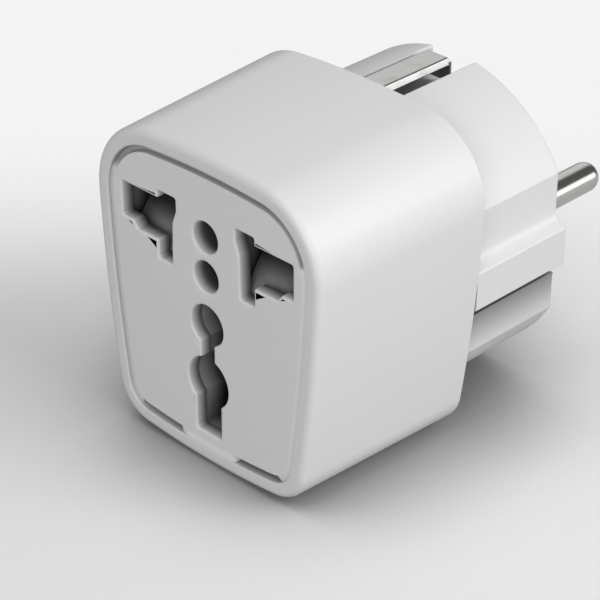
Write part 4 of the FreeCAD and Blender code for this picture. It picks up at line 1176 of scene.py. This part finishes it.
class ADAPTER_OT_inner_parts(bpy.types.Operator):
    """Give the parts inside the body their finishes"""

    bl_idname = "adapter.inner_parts"
    bl_label = "Inner parts"

    def execute(self, context):
        for finish, names in INNER_PARTS.items():
            for name in names:
                node = NODES[name]
                node.data.materials.clear()
                node.data.materials.append(material(finish))
        return {"FINISHED"}


def turned_to(made, place, way):
    """Puts a lamp or a camera at a place, looking along a direction."""
    made.location = place
    made.rotation_euler = Vector(way).to_track_quat("-Z", "Y").to_euler()
    bpy.context.scene.collection.objects.link(made)
    return made


def lamp(name, place, size, watts):
    """A square area lamp that looks at a point a little above the floor's middle."""
    aim = Vector((0, 0, 0.02))
    data = bpy.data.lights.new(name, "AREA")
    data.shape = "RECTANGLE"
    data.size, data.size_y = size, size
    data.energy = watts
    return turned_to(bpy.data.objects.new(name, data), place, aim - Vector(place))


def floor_finish():
    """Matt paper with a faint grain, and a painted contact shadow that darkens it where the object nearly
    touches it.

    To the camera alone it pales behind the object and far away. Other rays see one plain grey, and glossy
    ones another.
    """
    stage = bpy.context.scene.adapter_stage
    made = bpy.data.materials.new("floor paper")
    made.use_nodes = True
    tree = made.node_tree
    shader = tree.nodes["Principled BSDF"]
    shader.inputs["Specular IOR Level"].default_value = 0.15
    shader.inputs["Roughness"].default_value = 0.85
    place = object_place(tree)
    seen = is_ray(tree, "Camera")
    fibre = noise(tree, place, 900.0, 3.0)
    # Painted contact shadow: an ambient occlusion mask darkens the floor near the object, by the contact
    # share.
    near = tree.nodes.new("ShaderNodeAmbientOcclusion")
    near.samples = 12
    near.inputs["Distance"].default_value = 22 * MM
    clear_of_painted_shadow = ramp(tree, near.outputs["AO"], (0.3, 1.0), (0.0, 1.0))
    dim = opaque((1 - stage.contact) * part for part in stage.floor)
    tone = mixed(tree, clear_of_painted_shadow, dim, opaque(stage.floor))
    grained = mixed(tree, maths(tree, "MULTIPLY", fibre, 0.02), tone, opaque(0.5))
    unseen = mixed(tree, is_ray(tree, "Glossy"), opaque(stage.bounce), opaque(stage.mirrored))
    join(tree, mixed(tree, seen, unseen, grained), shader.inputs["Base Color"])
    join(tree, bump(tree, fibre, 0.05, 0.02 * MM), shader.inputs["Normal"])
    glow = tree.nodes.new("ShaderNodeEmission")
    glow.inputs["Strength"].default_value = stage.far
    behind = ramp(tree, towards(tree, place, (-0.7071, 0.7071, 0)), (0.002, 0.07), (0.0, 1.0))
    reach = tree.nodes.new("ShaderNodeVectorMath")
    reach.operation = "LENGTH"
    join(tree, place, reach.inputs[0])
    around = ramp(tree, reach.outputs["Value"], (0.13, 0.3), (0.0, 1.0))
    far = maths(tree, "MAXIMUM", behind, around)
    both = tree.nodes.new("ShaderNodeMixShader")
    pale = maths(tree, "MULTIPLY", far, seen)
    for value, socket in zip((pale, shader.outputs[0], glow.outputs[0]), both.inputs):
        join(tree, value, socket)
    join(tree, both.outputs[0], tree.nodes["Material Output"].inputs["Surface"])
    return made


def studio_world():
    """Even light. Glossy surfaces reflect a darker room with two pale cards, at the left and right rear."""
    stage = bpy.context.scene.adapter_stage
    world = bpy.data.worlds.new("studio")
    world.use_nodes = True
    tree = world.node_tree
    way = tree.nodes.new("ShaderNodeTexCoord").outputs["Generated"]
    card = ramp(tree, towards(tree, way, (-0.62, 0.6, 0.5)), (0.8, 0.98), (0.0, stage.gloss_card))
    strip = ramp(tree, towards(tree, way, (0.66, 0.72, 0.12)), (0.91, 0.96), (0.0, stage.gloss_strip))
    reflected = maths(tree, "ADD", maths(tree, "ADD", card, strip), stage.gloss_room)
    extra = maths(tree, "MULTIPLY", is_ray(tree, "Glossy"), maths(tree, "SUBTRACT", reflected, stage.room))
    background = tree.nodes["Background"]
    background.inputs["Color"].default_value = (1, 1, 1, 1)
    join(tree, maths(tree, "ADD", extra, stage.room), background.inputs["Strength"])
    return world


class ADAPTER_OT_stage(bpy.types.Operator):
    """Set the floor, the soft lamps and the camera"""

    bl_idname = "adapter.stage"
    bl_label = "Stage"

    def execute(self, context):
        scene = context.scene
        stage = scene.adapter_stage
        wide = 2.0
        corners = [(-wide, -wide, 0), (wide, -wide, 0), (wide, wide, 0), (-wide, wide, 0)]
        mesh = bpy.data.meshes.new("floor")
        mesh.from_pydata(corners, [], [(0, 1, 2, 3)])
        mesh.materials.append(floor_finish())
        floor = bpy.data.objects.new("floor", mesh)
        scene.collection.objects.link(floor)
        scene.world = studio_world()
        lamp("key", (0.4, 0.12, 0.28), 0.34, stage.key)
        lamp("fill", (0.42, -0.56, 0.3), 0.4, stage.fill)
        camera = bpy.data.cameras.new("camera")
        camera.lens = stage.lens
        camera.clip_start, camera.clip_end = 0.01, 10
        place, way = (0.1848, -0.19905, 0.1729), (-0.6067, 0.6067, -0.5135)
        scene.camera = turned_to(bpy.data.objects.new("camera", camera), place, way)
        scene.view_settings.view_transform = "Standard"
        return {"FINISHED"}


OPERATORS = (
    ADAPTER_OT_front_housing,
    ADAPTER_OT_socket_face,
    ADAPTER_OT_rear_cover,
    ADAPTER_OT_pins,
    ADAPTER_OT_earth_clips,
    ADAPTER_OT_shutter_springs,
    ADAPTER_OT_inner_parts,
    ADAPTER_OT_stage,
)
GROUPS = {
    "adapter_body": BodySizes,
    "adapter_face": FaceSizes,
    "adapter_plug": PlugSizes,
    "adapter_clip": ClipSizes,
    "adapter_spring": SpringSizes,
    "adapter_finishes": Finishes,
    "adapter_stage": StageSettings,
}


class ADAPTER_PT_pieces(bpy.types.Panel):
    """Lists the adapter's pieces and their values"""

    bl_label = "Travel adapter"
    bl_space_type = "VIEW_3D"
    bl_region_type = "UI"
    bl_category = "Adapter"

    def draw(self, context):
        for operator in OPERATORS:
            self.layout.operator(operator.bl_idname)
        for name, group in GROUPS.items():
            box = self.layout.box()
            for label in group.__annotations__:
                box.prop(getattr(context.scene, name), label)


def register():
    for kind in (*GROUPS.values(), *OPERATORS, ADAPTER_PT_pieces):
        bpy.utils.register_class(kind)
    for name, kind in GROUPS.items():
        setattr(bpy.types.Scene, name, PointerProperty(type=kind))


def unregister():
    for name in GROUPS:
        delattr(bpy.types.Scene, name)
    for kind in (ADAPTER_PT_pieces, *OPERATORS[::-1], *list(GROUPS.values())[::-1]):
        bpy.utils.unregister_class(kind)


def main():
    register()
    bpy.ops.adapter.front_housing()
    bpy.ops.adapter.socket_face()
    bpy.ops.adapter.rear_cover()
    bpy.ops.adapter.pins()
    bpy.ops.adapter.earth_clips()
    bpy.ops.adapter.shutter_springs()
    bpy.ops.adapter.inner_parts()
    bpy.ops.adapter.stage()


if __name__ == "__main__":
    main()
